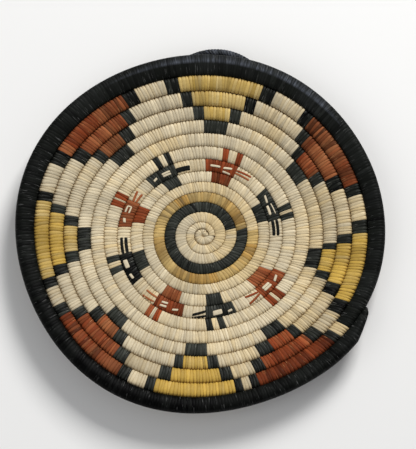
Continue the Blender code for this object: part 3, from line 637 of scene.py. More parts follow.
def make_piece(name, patches, finish, node):
    """Join patches into one mesh with its attributes, put it in the scene and on the plaque."""
    whole = joined(patches)
    extra_loops = sum(len(face) for face in whole.extra)
    mesh = bpy.data.meshes.new(name)
    mesh.from_pydata(whole.points.tolist(), [], whole.quads.tolist() + whole.extra)
    mesh.shade_smooth()
    uv = np.concatenate((whole.uv.reshape(-1, 2), np.zeros((extra_loops, 2))))
    dye = np.concatenate((np.repeat(whole.dye, 4, axis=0), np.full((extra_loops, 3), PLAIN_DYE)))
    fill(mesh.uv_layers.new(name="splint"), "uv", uv)
    fill(mesh.attributes.new("dye", "FLOAT_COLOR", "CORNER"), "color",
         np.pad(dye, ((0, 0), (0, 1)), constant_values=1))
    for key in ("groove", "seam", "wear"):
        fill(mesh.attributes.new(key, "FLOAT", "POINT"), "value", getattr(whole, key))
    mark_creases(mesh, whole.crease)
    mesh.materials.append(splint_material(finish))
    mesh.validate()
    item = bpy.data.objects.new(name, mesh)
    bpy.context.scene.collection.objects.link(item)
    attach(item, "root")
    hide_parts(node)


def mark_creases(mesh, crease):
    """An edge whose two points share a crease number stays sharp: the bottoms of the grooves."""
    ends = np.empty(len(mesh.edges) * 2, np.int32)
    mesh.edges.foreach_get("vertices", ends)
    first, second = crease[ends.reshape(-1, 2)].T
    sharp = mesh.attributes.get("sharp_edge") or mesh.attributes.new("sharp_edge", "BOOLEAN", "EDGE")
    sharp.data.foreach_set("value", (first == second) & (first >= 0))


# Wrapping


def stitch_edges(start, end, width, uneven, rng):
    """Turns where the stitches of a stretch begin and end: each stitch's width is drawn by chance
    about the given one, and the widths are summed and scaled to the stretch."""
    turns = np.linspace(start, end, RULER_POINTS)
    reach = run_length(ring(turns).centre)
    count = max(2, round(reach[-1] / width))
    widths = 1 + uneven * np.clip(rng.normal(0, WIDTH_SPREAD, count), -WIDTH_LIMIT, WIDTH_LIMIT)
    places = np.concatenate(((0.0,), np.cumsum(widths) / widths.sum()))
    return np.interp(places * reach[-1], reach, turns), reach[-1] / count


def stitch_rows(count):
    """Where the rows of a run of stitches lie, counted in stitches."""
    return np.append((np.arange(count)[:, None] + STITCH_ROWS).ravel(), count)


def row_depths(depths, count, last=1.0):
    """The depth at every row of a run of stitches, and at its last."""
    return np.append(np.tile(depths, count), last)


def groove_numbers(rows, columns):
    """A crease number for the points of each groove's row, and -1 for all others."""
    row = np.arange(rows)
    return np.repeat(np.where(row % ROWS_PER_STITCH == 0, row // ROWS_PER_STITCH, -1), columns)


def stitch_dyes(count, rng):
    """Tone, hue and hair of each stitch, from 0 to 1: a lot of splints shares a tone, and each
    stitch departs from it."""
    lots = rng.normal(0, 1, (count // 3 + 2, 2))
    lots = np.repeat(lots, rng.integers(*LOT_COUNTS, len(lots)), axis=0)[:count]
    dyes = PLAIN_DYE + LOT_SPREAD * lots + STITCH_SPREAD * rng.normal(0, 1, (count, 2))
    return np.concatenate((dyes, rng.uniform(0, 1, (count, 1))), 1)


def lobe(angles, peak):
    """A wave round the circle: 1 at the peak's angle, 0 opposite it."""
    return 0.5 + 0.5 * np.cos((angles - peak) / DEGREES_PER_TURN * FULL_TURN)


def nearest(angles, middles):
    """Which of the middles is nearest to each angle, round the circle."""
    away = np.abs((angles[:, None] - middles + 180) % DEGREES_PER_TURN - 180)
    return np.argmin(away, axis=1)


def lot_shifts(node, finish, turns):
    """How much lighter the stitches' lot is than the mean, and its turn to the other hue. For the
    stars' cream the tone also holds painted light and shade, and for the rim it is painted shade.
    """
    angles = (turns % 1) * DEGREES_PER_TURN
    shifts = np.zeros((len(turns), 2))
    star_round = STAR_NODES.index(node) if node in STAR_NODES else None
    if finish == "gold":
        shifts = GOLD_LOTS[np.searchsorted(GOLD_LOTS[:, 0], angles, "right") - 1, 1:]
    elif finish in ("red", "yellow") and node in STAR_NODES:
        middles = np.array([(starts[0] + ends[0]) / 2 for _, starts, ends in STARS])
        shifts = STAR_LOTS[nearest(angles, middles), max(0, star_round - 1)]
    elif finish in ("red", "black") and node in FIGURE_NODES:
        if node == "figure_head_round" or finish == "red":
            middles = np.array([(row[2] + row[3]) / 2 for row in FIGURES])
            shifts = HEAD_LOTS[nearest(angles, middles)]
        if node == "figure_crest_round" and finish == "red":
            shifts[:] = CREST_LOT
    elif finish == "cream" and node in WARM_NODES:
        shifts = lobe(angles, WARM_ANGLE)[:, None] ** WARM_POWER * WARM_LOT
    elif finish == "cream" and node in STAR_NODES:
        # Painted light and shade: the stars' cream is darker towards the rim and shaded by angle round
        # the dish
        painted_light = STAR_CREAM_PAINTED_LIGHT[star_round] * (2 * lobe(angles, STAR_PAINTED_LIGHT_ANGLE) - 1)
        shifts[:, 0] = STAR_CREAM_SHADE_TONES[star_round] + painted_light
        shifts[:, 1] = STAR_CREAM_WARMTH * (2 * lobe(angles, STAR_WARM_ANGLE) - 1)
    elif finish == "black":
        shifts[:] = (STAR_BLACK_TONES[star_round], 0) if node in STAR_NODES else BLACK_RING_LOT
    # Painted shade: the rim is darkened away from the light
    elif finish == "rim":
        shifts = lobe(angles, RIM_SHADE_ANGLE)[:, None] ** RIM_SHADE_POWER * RIM_PAINTED_SHADE
    return shifts


def lean(turn):
    """Lean of the stitches along the coil, from about 0 to 1: slow sine waves about a middle."""
    return sum((height * np.sin(FULL_TURN * turn * count + shift)
                for height, count, shift in LEAN_WAVES), LEAN_MIDDLE)


def painted_sheen_share(turns):
    """Share of painted highlight, a bluish-grey sheen, on the rim beside the hanging loop: 1 there,
    fading to 0 at both ends.
    """
    angle = (turns - LOOP_TURN) * DEGREES_PER_TURN
    return smooth(*SHEEN_RISE, angle) * (1 - smooth(*SHEEN_FADE, angle))


def wrap_run(start, end, stitches, node, finish):
    """Stitches side by side from one turn to another.

    Each stitch is a band once round the coil's section, in four strips: it rises from the groove
    at its start to its crest and falls to the next groove. A point is the section's centre plus
    its across and up shares of the half width and half thickness, less the depth there, and it is
    moved along the coil by the stitch's lean times its across share. Inside runs the plain bore
    that holds the bundle, and flat rings close both ends."""
    rng = np.random.default_rng(stitches.seed + round(start * SEEDS_PER_TURN))
    edges, pitch = stitch_edges(start, end, stitches.width * NODE_SHARES[node][0], stitches.uneven, rng)
    count = len(edges) - 1
    along, stitch = stitch_rows(count), np.arange(count + 1)
    turns = np.interp(along, stitch, edges)
    side, rise, grooved, toothed, seamed = section_of(node).T
    rows, columns = len(turns), len(side)
    turn_step = pitch / (FULL_TURN * round_radius(turns + 0.5))
    tilt = rng.normal(0, stitches.uneven * TILT_SPREAD, count + 1)
    tilt = tilt * (along[::ROWS_PER_STITCH] % count > 0)
    tilt = stitches.slant * lean(turns) + np.interp(along, stitch, tilt)
    if start <= 0:
        tilt = tilt * smooth(0, FIRST_STITCHES, along)
    shift = tilt[:, None] * side * turn_step[:, None]
    place = ring(np.clip(turns[:, None] + shift, min(start, 0.0), LAST_TURN))
    cut = rng.uniform(*CUT_RANGE, count + 1)
    if start <= 0:
        cut[0] = FIRST_CUT
    cut = cut[np.round(along).astype(int)]
    row_depth = row_depths(ROW_DEPTHS, count) * cut
    tooth = (row_depths(TOOTH_DEPTHS, count) * cut)[:, None] * stitches.tooth * toothed
    proud = np.interp(along, stitch + 0.5, rng.normal(0, PROUD, count + 1))
    depth = row_depth[:, None] * stitches.groove * grooved + tooth - proud[:, None] * grooved
    depth = depth * np.clip(place.half_thickness / (COIL_THICKNESS / 2), 0, 1)
    points = beside(place, side * (place.half_width - ROUND_TOUCH / 2 - depth),
                    rise * (place.half_thickness - depth))
    dyes = stitch_dyes(count, rng)
    dyes[:, :2] += lot_shifts(node, finish, (edges[1:] + edges[:-1]) / 2) / (2 * FINISHES[finish][0], 2)
    # Painted shade in the grooves between stitches, all round the section
    groove = np.clip(row_depth, 0, 1)[:, None] * np.maximum(grooved, LEAST_GROOVE)
    # Painted highlight: the rim's sheen, on the top of the section only
    wear = painted_sheen_share(turns)[:, None] * np.interp(side, SHEEN_SIDES, SHEEN_SHARES) * (rise > 0)
    girth = run_length(np.append(SECTION[:, :2], SECTION[:1, :2], axis=0) * MAP_HALF_WIDTH)
    dye = np.repeat(np.clip(dyes, 0, 1), ROWS_PER_STITCH * columns, axis=0)
    # Its seam share paints shade where the rounds meet
    wall = Patch(points, grid_quads(rows, columns, True), grid_uv(along * pitch, girth), dye, groove,
                 np.tile(seamed, rows), wear, groove_numbers(rows, columns))

    bore_turns = edges[edges <= BUNDLE_END] if end == LAST_TURN else edges
    bore_rows = len(bore_turns)
    bore = ring(np.clip(bore_turns, 0, LAST_TURN)[:, None])
    around = np.arctan2(rise, side)
    inside = beside(bore, (bore.half_width - WALL) * np.cos(around),
                    (bore.half_thickness - WALL) * np.sin(around))
    # The bore's inside is painted all in shade
    lining = Patch(inside, grid_quads(bore_rows, columns, True, True),
                   grid_uv(np.arange(bore_rows) * pitch, girth, True), groove=1.0, seam=1.0)
    column = np.arange(columns)
    after = (column + 1) % columns
    first = rows * columns
    last, last_bore = first - columns, first + (bore_rows - 1) * columns
    caps, extra = np.stack((column, after, first + after, first + column), -1), ()
    if end == LAST_TURN:
        extra = (tuple(last + column), tuple(last_bore + column[::-1]))
    else:
        end_cap = np.stack((last + column, last_bore + column, last_bore + after, last + after), -1)
        caps = np.concatenate((caps, end_cap))
    return joined((wall, lining)).close(caps, extra)


def turns_of(number, start, end):
    """Turns of a stretch given by its round and its two angles in degrees."""
    return number + start / DEGREES_PER_TURN, number + end / DEGREES_PER_TURN


def colour_runs():
    """Every change of splint along the coil: start turn, end turn and colour, later ones on top."""
    runs = [(*SLEEVES[node], node.split("_")[0]) for node in ("black_ring", "gold_ring", "black_rim")]
    for colour, _, head, head_end, neck_end, crests in FIGURES:
        runs.append((*turns_of(NECK_ROUND, head + NECK_INSET, neck_end), colour))
        runs.append((*turns_of(HEAD_ROUND, head, head_end), colour))
        for crest in crests:
            runs.append((*turns_of(CREST_ROUND, *crest), colour))
    for colour, starts, ends in STARS:
        for step, number in enumerate(STAR_ROUNDS):
            if starts[0] > FIRST_STAR_SPLIT:
                number -= 1
            runs.append((*turns_of(number, starts[step], ends[step]), "black"))
            if step:
                runs.append((*turns_of(number, starts[step - 1], ends[step - 1]), colour))
    return runs


def colour_at(turn, runs):
    """Colour of the splints at a turn."""
    return [name for start, end, name in [(0, LAST_TURN, "cream"), *runs] if start <= turn <= end][-1]


def wrap_sleeves(nodes):
    """The stitches of sleeves: a piece for each colour in one, made of that colour's stretches."""
    stitches = bpy.context.scene.plaque_stitches
    runs = colour_runs()
    for node in nodes:
        start, end = SLEEVES[node]
        cuts = sorted({start, end} | {turn for run in runs for turn in run[:2] if start < turn < end})
        stretches = {}
        for span in zip(cuts, cuts[1:]):
            stretches.setdefault(colour_at(sum(span) / 2, runs), []).append(span)
        for colour, spans in stretches.items():
            finish = "rim" if node == "black_rim" else colour
            name = node if len(stretches) == 1 else f"{node}_{colour}"
            patches = [wrap_run(*span, stitches, node, finish) for span in spans]
            make_piece(name + "_stitches", patches, finish, node)


# The start of the coil


def knot_patch(stitches):
    """The curled start: a low button that grows once round. Its profile runs from the pit in the
    middle over a crest to the side and under to the foot; its stitches run from the pit outwards,
    and a short slit beside the pit shows where the coil turns in."""
    rng = np.random.default_rng(stitches.seed)
    count, reach, level = KNOT_STITCHES, KNOT_REACH, KNOT_LEVEL
    along = stitch_rows(count)
    turn = along / count * KNOT_TURNS
    angle = FULL_TURN * turn
    radius = seam_profile(turn, angle)[0] - ROUND_TOUCH / 2
    half = COIL_THICKNESS / 2
    depth = row_depths(ROW_DEPTHS, count, KNOT_LAST_DEPTH)[:, None] * KNOT_GROOVE * stitches.groove
    side = smooth(*KNOT_TINT, reach) * (0.5 + 0.5 * smooth(*KNOT_FULL_TINT, reach))
    reached = reach * radius[:, None] - depth * side * (reach > KNOT_SIDE_REACH)
    x, y = reached * np.cos(angle)[:, None], reached * np.sin(angle)[:, None]
    slit = slit_share(x, y)
    z = half + level * half - depth * smooth(*KNOT_CUT, reach) * (level > KNOT_CREST_LEVEL)
    z = z - slit * SLIT_DEPTH * (level > 0)
    rows, columns = len(turn), len(reach)
    last = (rows - 1) * columns + np.arange(columns)
    joint = cells_of(np.stack((last, np.arange(columns))), True)
    dye = np.repeat(stitch_dyes(count, rng), ROWS_PER_STITCH * (columns - 1), axis=0)
    # Painted shade in the grooves between the knot's stitches
    groove = np.repeat(row_depths(ROW_DEPTHS, count), columns) * np.tile(side, rows)
    # Painted shade: dark in the pit, at the side where it meets the next round, and along the slit
    pit = np.where(level > 0, 1 - smooth(*KNOT_PIT, reach), 0)
    dark = np.maximum(np.maximum(pit, smooth(*KNOT_DARK_SIDE, reach)), slit)
    foot = np.arange(rows) * columns
    patch = Patch(np.stack((x, y, z), -1), grid_quads(rows, columns, False, True),
                  grid_uv(along * stitches.width, reach * KNOT_MAP, True), dye, groove, dark,
                  crease=groove_numbers(rows, columns))
    return patch.close(joint, (tuple(foot), tuple((foot + columns - 1)[::-1])))


def slit_share(x, y):
    """Share of the slit at a place: 1 on a short line beside the pit, fading to 0 next to it."""
    run = SLIT_ENDS[1] - SLIT_ENDS[0]
    x, y = x - SLIT_ENDS[0, 0], y - SLIT_ENDS[0, 1]
    share = np.clip((x * run[0] + y * run[1]) / (run @ run), 0, 1)
    return 1 - smooth(*SLIT_EDGES, np.hypot(x - share * run[0], y - share * run[1]))


# Bundle, laid splints and loop


def tube_patch(points, along, around, groove, dye=PLAIN_DYE, flip=False):
    """A closed tube from rows of points, with a flat face over each end."""
    rows, columns = points.shape[:2]
    uv = grid_uv(along, np.append(around, 2 * around[-1] - around[-2]), flip)
    first = np.arange(columns)
    last = first + (rows - 1) * columns
    extra = (tuple(first[::-1]), tuple(last)) if flip else (tuple(first), tuple(last[::-1]))
    return Patch(points, grid_quads(rows, columns, True, flip), uv, dye, groove, extra=extra)


def stem_lobes(stems, places):
    """Angles round a bundle, its lobes there from 0 to 1, and how they narrow it: the lobes are a
    wave round the bundle that winds along it."""
    sides, count, depth, wind = stems
    angles = circle(sides)
    lobes = (1 + np.cos(count * angles + wind * places[:, None])) / 2
    return angles, lobes, 1 - depth * lobes


def bundle_patch():
    """The unbroken bundle: a tube along the whole coil whose round section has nine stems' lobes,
    and the lobes wind slowly round it."""
    turns = np.arange(BUNDLE_GAPS[0], BUNDLE_END - BUNDLE_GAPS[1], BUNDLE_STEP)
    place = ring(turns[:, None])
    # The lobes' share paints shade in the hollows between the stems
    angles, groove, narrowed = stem_lobes(COIL_STEMS, turns)
    inset = WALL + BUNDLE_CLEARANCE
    points = beside(place, (place.half_width - inset) * narrowed * np.cos(angles),
                    (place.half_thickness - inset) * narrowed * np.sin(angles))
    return tube_patch(points, run_length(place.centre[:, 0]), angles * BUNDLE_MAP, groove)


def splint_bar(start, end, first_share, last_share, half_share, rng):
    """One splint laid along the coil: a domed band that follows the coil's oval top and dives into
    it at both ends. Its place across the coil runs evenly from the first share to the last."""
    share = np.linspace(0, 1, BAR_ROWS)[:, None]
    from_middle = np.abs(2 * share - 1)
    place = ring(start + share * (end - start))
    middle = first_share + share * (last_share - first_share)
    side = middle + half_share * (1 - BAR_TAPER * from_middle ** BAR_TAPER_POWER) * BAR_ACROSS
    dive = BAR_DIVE * np.clip(from_middle - BAR_END, 0, 1) / (1 - BAR_END)
    up = place.half_thickness * section_top(side) + BAR_CLEARANCE + BAR_LIFT - dive
    points = beside(place, side * place.half_width, up)
    # Painted shade along the bar's long edges and at its ends where it dives under the stitches
    edge = np.where(np.abs(BAR_ACROSS) > BAR_EDGE, BAR_EDGE_GROOVE, 0.0)
    groove = np.maximum(edge, smooth(*BAR_END_GROOVE, from_middle))
    girth = np.arange(len(BAR_ACROSS)) * BAR_MAP
    patch = tube_patch(points, run_length(place.centre[:, 0]), girth, groove, stitch_dyes(1, rng), True)
    patch.uv = patch.uv[..., ::-1]
    return patch


def loop_course(offsets):
    """Points, ways forward and across, and ups along the hanging loop: an arch that follows the
    rim's underside, out past its edge in the middle and back under it at both feet."""
    turn = np.array(LOOP_TURN + LOOP_ANGLE / FULL_TURN)
    reach = np.linalg.norm(ring(turn).outer.point[:2])
    side = ring(turn + offsets / reach / FULL_TURN)
    out = LOOP_CROWN - LOOP_DROP * (offsets / LOOP_DROP_SPAN) ** 2
    depth = side.half_thickness + LOOP_RADIUS + LOOP_SEAT_GAP
    points = side.outer.point + out[:, None] * side.outer.out - depth[:, None] * side.outer.up
    forward = unit(np.gradient(points, axis=0))
    across = unit(np.cross(forward, side.outer.up))
    return points, forward, across, np.cross(across, forward)


def round_section(point, across, up, radius, angles):
    """Points round a course: the radius times the cosine across it and times the sine up from it."""
    side, rise = radius * np.cos(angles), radius * np.sin(angles)
    return point + side[..., None] * across + rise[..., None] * up


def loop_wrap_patch(stitches):
    """The wraps of the hanging loop: a round tube whose radius falls in a groove between wraps,
    the wraps leaning a little along the loop."""
    rng = np.random.default_rng(stitches.seed + LOOP_SEED)
    count = round(2 * LOOP_HALF_SPAN / (stitches.width * LOOP_WRAP_WIDTH))
    along, angles = stitch_rows(count), circle(LOOP_STEMS[0])
    offsets = np.linspace(-LOOP_HALF_SPAN, LOOP_HALF_SPAN, len(along))[:, None]
    leaning = np.clip((LOOP_HALF_SPAN - np.abs(offsets)) / LOOP_LEAN_RUN, 0, 1)
    leaning = leaning * LOOP_LEAN * 2 * LOOP_HALF_SPAN / count
    at = offsets + leaning * np.cos(angles)
    fine = np.linspace(-LOOP_HALF_SPAN, LOOP_HALF_SPAN, LOOP_COURSE_POINTS)
    point, _, across, up = (np.stack([np.interp(at, fine, part[:, axis]) for axis in range(3)], -1)
                            for part in loop_course(fine))
    depth = row_depths(ROW_DEPTHS, count)
    proud = np.interp(along, np.arange(count + 1) + 0.5, rng.normal(0, LOOP_PROUD, count + 1))
    radius = LOOP_RADIUS - depth * stitches.groove + proud
    points = round_section(point, across, up, radius[:, None], angles)
    dye = np.repeat(stitch_dyes(count, rng), ROWS_PER_STITCH * len(angles), axis=0)
    # Painted shade in the grooves between wraps
    groove = np.repeat(depth, len(angles))
    patch = tube_patch(points, along * stitches.width, angles * LOOP_RADIUS, groove, dye, True)
    patch.crease = groove_numbers(len(along), len(angles))
    # Painted highlight: an even sheen over the loop's wraps
    patch.wear += LOOP_SHEEN
    return patch


def loop_bundle_patch():
    """The grass inside the hanging loop: a round tube with seven lobes."""
    reach = LOOP_HALF_SPAN * LOOP_BUNDLE_SHARE
    offsets = np.linspace(-reach, reach, LOOP_BUNDLE_POINTS)
    point, _, across, up = (part[:, None] for part in loop_course(offsets))
    # The lobes' share paints shade in the hollows between the stems
    angles, groove, narrowed = stem_lobes(LOOP_STEMS, offsets)
    radius = (LOOP_RADIUS - LOOP_WALL - BUNDLE_CLEARANCE) * narrowed
    points = round_section(point, across, up, radius, angles)
    return tube_patch(points, offsets, angles * LOOP_RADIUS, groove, flip=True)


def lashing_patch(offset, stitches):
    """A band of three splints under the loop's foot: half round the loop, with legs up to the rim.
    Its section, a ridge for each splint, is carried along that path."""
    rng = np.random.default_rng(stitches.seed + LASHING_SEED)
    beside_it = offset + np.array((-1.0, 0.0, 1.0)) * MM
    point, forward, across, up = (part[1] for part in loop_course(beside_it))
    near = LOOP_RADIUS + LOOP_SEAT_GAP
    turn = np.linspace(0, -math.pi, LASHING_STEPS)
    out_side = np.concatenate(((1.0,), np.cos(turn), (-1.0,)))[:, None]
    out_up = np.pad(np.sin(turn), 1)[:, None]
    lift = np.pad(np.zeros(LASHING_STEPS), 1, constant_values=near - LASHING_TOP_GAP)[:, None]
    wide = LASHING_ACROSS * LASHING_WIDTH / 2
    radius = near + LASHING_THICKNESS * LASHING_RIDGE
    points = (point + (out_side * radius)[..., None] * across
              + (out_up * radius + lift)[..., None] * up + wide[:, None] * forward)
    rows = len(points)
    # Painted shade in the grooves between the lashing's splints
    grooved = (LASHING_RIDGE > LASHING_GROOVE[0]) & (LASHING_RIDGE < LASHING_GROOVE[1])
    groove = np.tile(grooved.astype(float), (rows, 1))
    return tube_patch(points, np.arange(rows) * MM, wide, groove, stitch_dyes(1, rng), True)


# Materials


class Nodes:
    """Short ways to add the nodes of one material or world."""

    def __init__(self, tree):
        self.tree = tree

    def add(self, kind, feeds, output=0, **settings):
        """One output of a new node. The feeds go into its inputs: a socket is linked, and a number,
        a vector or a colour is set."""
        node = self.tree.nodes.new("ShaderNode" + kind)
        for key, value in settings.items():
            setattr(node, key, value)
        for key, value in feeds.items():
            self.feed(node.inputs[key], value)
        return node.outputs[output]

    def feed(self, socket, value):
        """Link a socket into an input, or set the input's value."""
        if isinstance(value, bpy.types.NodeSocket):
            self.tree.links.new(value, socket)
        else:
            socket.default_value = (*value, 1.0) if socket.type == "RGBA" else value

    def add_up(self, first, second, clamp=False):
        """The sum of two values."""
        return self.add("Math", {0: first, 1: second}, operation="ADD", use_clamp=clamp)

    def times(self, first, second, clamp=False):
        """The product of two values."""
        return self.add("Math", {0: first, 1: second}, operation="MULTIPLY", use_clamp=clamp)

    def mix(self, factor, first, second, blend="MIX"):
        """Two colours mixed."""
        return self.add("Mix", {0: factor, 6: first, 7: second}, 2, data_type="RGBA", blend_type=blend)

    def read(self, name):
        """A share that the mesh holds."""
        return self.add("Attribute", {}, "Fac", attribute_name=name)

    def spread(self, *feeds):
        """A value moved from the range low to high to another range."""
        return self.add("MapRange", dict(enumerate(feeds)))

    def noise(self, vector, scale, detail=3.0, roughness=0.6):
        """Noise on a vector."""
        feeds = {"Vector": vector, "Scale": scale, "Detail": detail, "Roughness": roughness}
        return self.add("TexNoise", feeds, "Fac")


def splint_material(name):
    """The named splint: its colour by stitch, fine streaks along the leaf, broad stains, painted shade in
    the grooves and seams, hairs that on black are partly painted glints, and a painted highlight on the
    rim, with gloss and bump from the same streaks."""
    known = bpy.data.materials.get(name + "_splint")
    if known:
        return known
    tones, other, groove_shade_colour, seam_shade_colour, rough, stain, gloss_level = FINISHES[name]
    base = tuple(getattr(bpy.context.scene.plaque_colours, name))
    material = bpy.data.materials.new(name + "_splint")
    material.use_nodes = True
    nodes = Nodes(material.node_tree)
    shader = nodes.tree.nodes["Principled BSDF"]
    place = nodes.add("TexCoord", {}, "Object")
    leaf = place.node.outputs["UV"]
    dye = nodes.add("Attribute", {}, "Color", attribute_name="dye")
    tone, turn, hair = nodes.add("SeparateColor", {0: dye}).node.outputs
    streak = nodes.noise(nodes.add("Mapping", {"Vector": leaf, "Scale": STREAK_SCALE}), 1.0)
    strands = nodes.noise(nodes.add("Mapping", {"Vector": leaf, "Scale": HAIR_SCALE}), 1.0, 2.0)
    stains = nodes.noise(place, STAIN_SCALE, roughness=STAIN_ROUGHNESS)
    specks = nodes.noise(place, SPECK_SCALE, 2.0)

    hue = nodes.add_up(turn, nodes.times(stains, stain * 2))
    low, high = HUE_RANGE
    colour = nodes.mix(nodes.spread(hue, low + stain, high + stain, *SHARE), base, other)
    light = nodes.spread(tone, *SHARE, 1 - tones, 1 + tones)
    for feeds in ((streak, *NOISE_RANGE, *STREAK_LIGHT),
                  (stains, *NOISE_RANGE, 1 - stain * STAIN_DARK, 1 + stain * STAIN_LIGHT),
                  (specks, *SPECK_RANGE, *SPECK_LIGHT)):
        light = nodes.times(light, nodes.spread(*feeds))
    bright = nodes.add("CombineColor", {0: light, 1: light, 2: light})
    colour = nodes.mix(1.0, colour, bright, "MULTIPLY")
    groove = nodes.add("Math", {0: nodes.read("groove"), 1: GROOVE_POWER}, operation="POWER")
    # Painted highlight: the rim and the loop turn bluish-grey where the mesh holds painted sheen, patchy
    # by stitch and strand
    if name == "rim":
        painted_sheen_mix = nodes.times(nodes.spread(nodes.read("wear"), *SHEEN_RANGE, *SHARE),
                           nodes.spread(hair, *SHARE, *SHEEN_BY_HAIR))
        painted_sheen_mix = nodes.times(painted_sheen_mix, nodes.spread(strands, *SHEEN_BY_STRANDS))
        colour = nodes.mix(painted_sheen_mix, colour, PAINTED_SHEEN_COLOUR)
    # Painted shade: darkened towards the groove colour in the grooves
    colour = nodes.mix(nodes.times(groove, GROOVE_SHADE_SHARE), colour, groove_shade_colour)
    # Hairs: on black and on the rim they are partly real pale fibres and partly painted glints
    hair_and_glint_colour, hair_and_glint_level = HAIRS_AND_GLINTS[name]
    hairs_and_glints = nodes.spread(strands, hair_and_glint_level, hair_and_glint_level + HAIR_EDGE, 0.0, HAIR_SHARE)
    colour = nodes.mix(hairs_and_glints, colour, hair_and_glint_colour)
    # Painted shade: the seams between rounds are darkened, in dots that follow the grooves
    dotted_seam_shade = nodes.times(nodes.read("seam"), nodes.spread(groove, *SEAM_BY_GROOVE), True)
    nodes.feed(shader.inputs["Base Color"], nodes.mix(dotted_seam_shade, colour, seam_shade_colour))
    gloss = nodes.spread(streak, *NOISE_RANGE, rough - SMOOTHEST, rough + ROUGHEST)
    rougher = nodes.times(groove, GROOVE_ROUGHNESS)
    nodes.feed(shader.inputs["Roughness"], nodes.add_up(gloss, rougher, True))
    height = nodes.add_up(streak, nodes.times(specks, SPECK_HEIGHT))
    bump = {"Height": height, "Strength": BUMP_STRENGTH, "Distance": BUMP_DISTANCE}
    nodes.feed(shader.inputs["Normal"], nodes.add("Bump", bump))
    nodes.feed(shader.inputs["Specular IOR Level"], gloss_level)
    return material


# Operators


class PLAQUE_OT_start_knot(bpy.types.Operator):
    """Make the curled start of the coil."""

    bl_idname = "plaque.start_knot"
    bl_label = "Start knot"

    def execute(self, context):
        patch = knot_patch(context.scene.plaque_stitches)
        make_piece("start_knot_stitches", [patch], "cream", "start_knot")
        return {"FINISHED"}


class PLAQUE_OT_grass_bundle(bpy.types.Operator):
    """Make the grass bundle inside the whole coil."""

    bl_idname = "plaque.grass_bundle"
    bl_label = "Grass bundle"

    def execute(self, context):
        make_piece("grass_bundle_stems", [bundle_patch()], "grass", "grass_bundle")
        return {"FINISHED"}


class PLAQUE_OT_plain_rounds(bpy.types.Operator):
    """Wrap the rounds of one colour: centre, black ring, gold ring and the two cream rounds."""

    bl_idname = "plaque.plain_rounds"
    bl_label = "Plain rounds"

    def execute(self, context):
        wrap_sleeves(PLAIN_NODES)
        return {"FINISHED"}


class PLAQUE_OT_figure_rounds(bpy.types.Operator):
    """Wrap the three rounds of the stitched heads: necks, heads and crests."""

    bl_idname = "plaque.figure_rounds"
    bl_label = "Rounds of the heads"

    def execute(self, context):
        wrap_sleeves(FIGURE_NODES)
        return {"FINISHED"}


class PLAQUE_OT_star_rounds(bpy.types.Operator):
    """Wrap the four rounds of the stepped stars."""

    bl_idname = "plaque.star_rounds"
    bl_label = "Rounds of the stars"

    def execute(self, context):
        wrap_sleeves(STAR_NODES)
        return {"FINISHED"}


class PLAQUE_OT_black_rim(bpy.types.Operator):
    """Wrap the black rim and its tip."""

    bl_idname = "plaque.black_rim"
    bl_label = "Black rim"

    def execute(self, context):
        wrap_sleeves(("black_rim",))
        return {"FINISHED"}


class PLAQUE_OT_laid_splints(bpy.types.Operator):
    """Lay the splints of the eight heads: eyes, brows and the two halves of each beak."""

    bl_idname = "plaque.laid_splints"
    bl_label = "Laid splints"

    def execute(self, context):
        for number, (colour, beak, head, head_end, _, _) in enumerate(FIGURES, 1):
            rng = np.random.default_rng(context.scene.plaque_stitches.seed + number)
            start, end = turns_of(HEAD_ROUND, head, head_end)
            span = end - start
            for part, rows in (("eye", EYE_BARS[number - 1]), ("brow", (BROW_BARS[number - 1],))):
                patches = [splint_bar(start + row[0] * span, start + row[1] * span, *row[2:], rng)
                           for row in rows]
                node = f"figure_{number}_{part}"
                make_piece(node + "_splints", patches, "white", node)
            beak_turns = turns_of(HEAD_ROUND, beak, head + BEAK_END_CLEARANCE)
            for half, rows in BEAK_BARS.items():
                patch = splint_bar(*beak_turns, *rows[number - 1], rng)
                patch.dye[:, 0] = BEAK_TONES[colour]
                node = f"figure_{number}_beak_{half}"
                make_piece(node + "_splint", [patch], colour, node)
        return {"FINISHED"}


class PLAQUE_OT_hanging_loop(bpy.types.Operator):
    """Make the hanging loop: its wraps, its grass and its two lashings."""

    bl_idname = "plaque.hanging_loop"
    bl_label = "Hanging loop"

    def execute(self, context):
        stitches = context.scene.plaque_stitches
        make_piece("hanging_loop_wraps", [loop_wrap_patch(stitches)], "rim", "hanging_loop_wrap")
        make_piece("hanging_loop_stems", [loop_bundle_patch()], "grass", "hanging_loop_bundle")
        for side, offset in (("right", -LASHING_PLACE), ("left", LASHING_PLACE)):
            node = f"loop_lashing_{side}"
            make_piece(node + "_splints", [lashing_patch(offset, stitches)], "rim", node)
        return {"FINISHED"}


class PLAQUE_OT_stage(bpy.types.Operator):
    """Set up the floor, the lamps, the world and the camera."""

    bl_idname = "plaque.stage"
    bl_label = "Stage"

    def execute(self, context):
        scene, stage = context.scene, context.scene.plaque_stage
        scene.view_settings.view_transform = "Standard"
        add_floor(scene, stage)
        add_world(scene)
        low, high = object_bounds()
        for (name, place, size), power in zip(LAMPS, (stage.key, stage.fill)):
            add_lamp(scene, name, place, size, power, (low + high) / 2)
        add_camera(scene, stage)
        return {"FINISHED"}


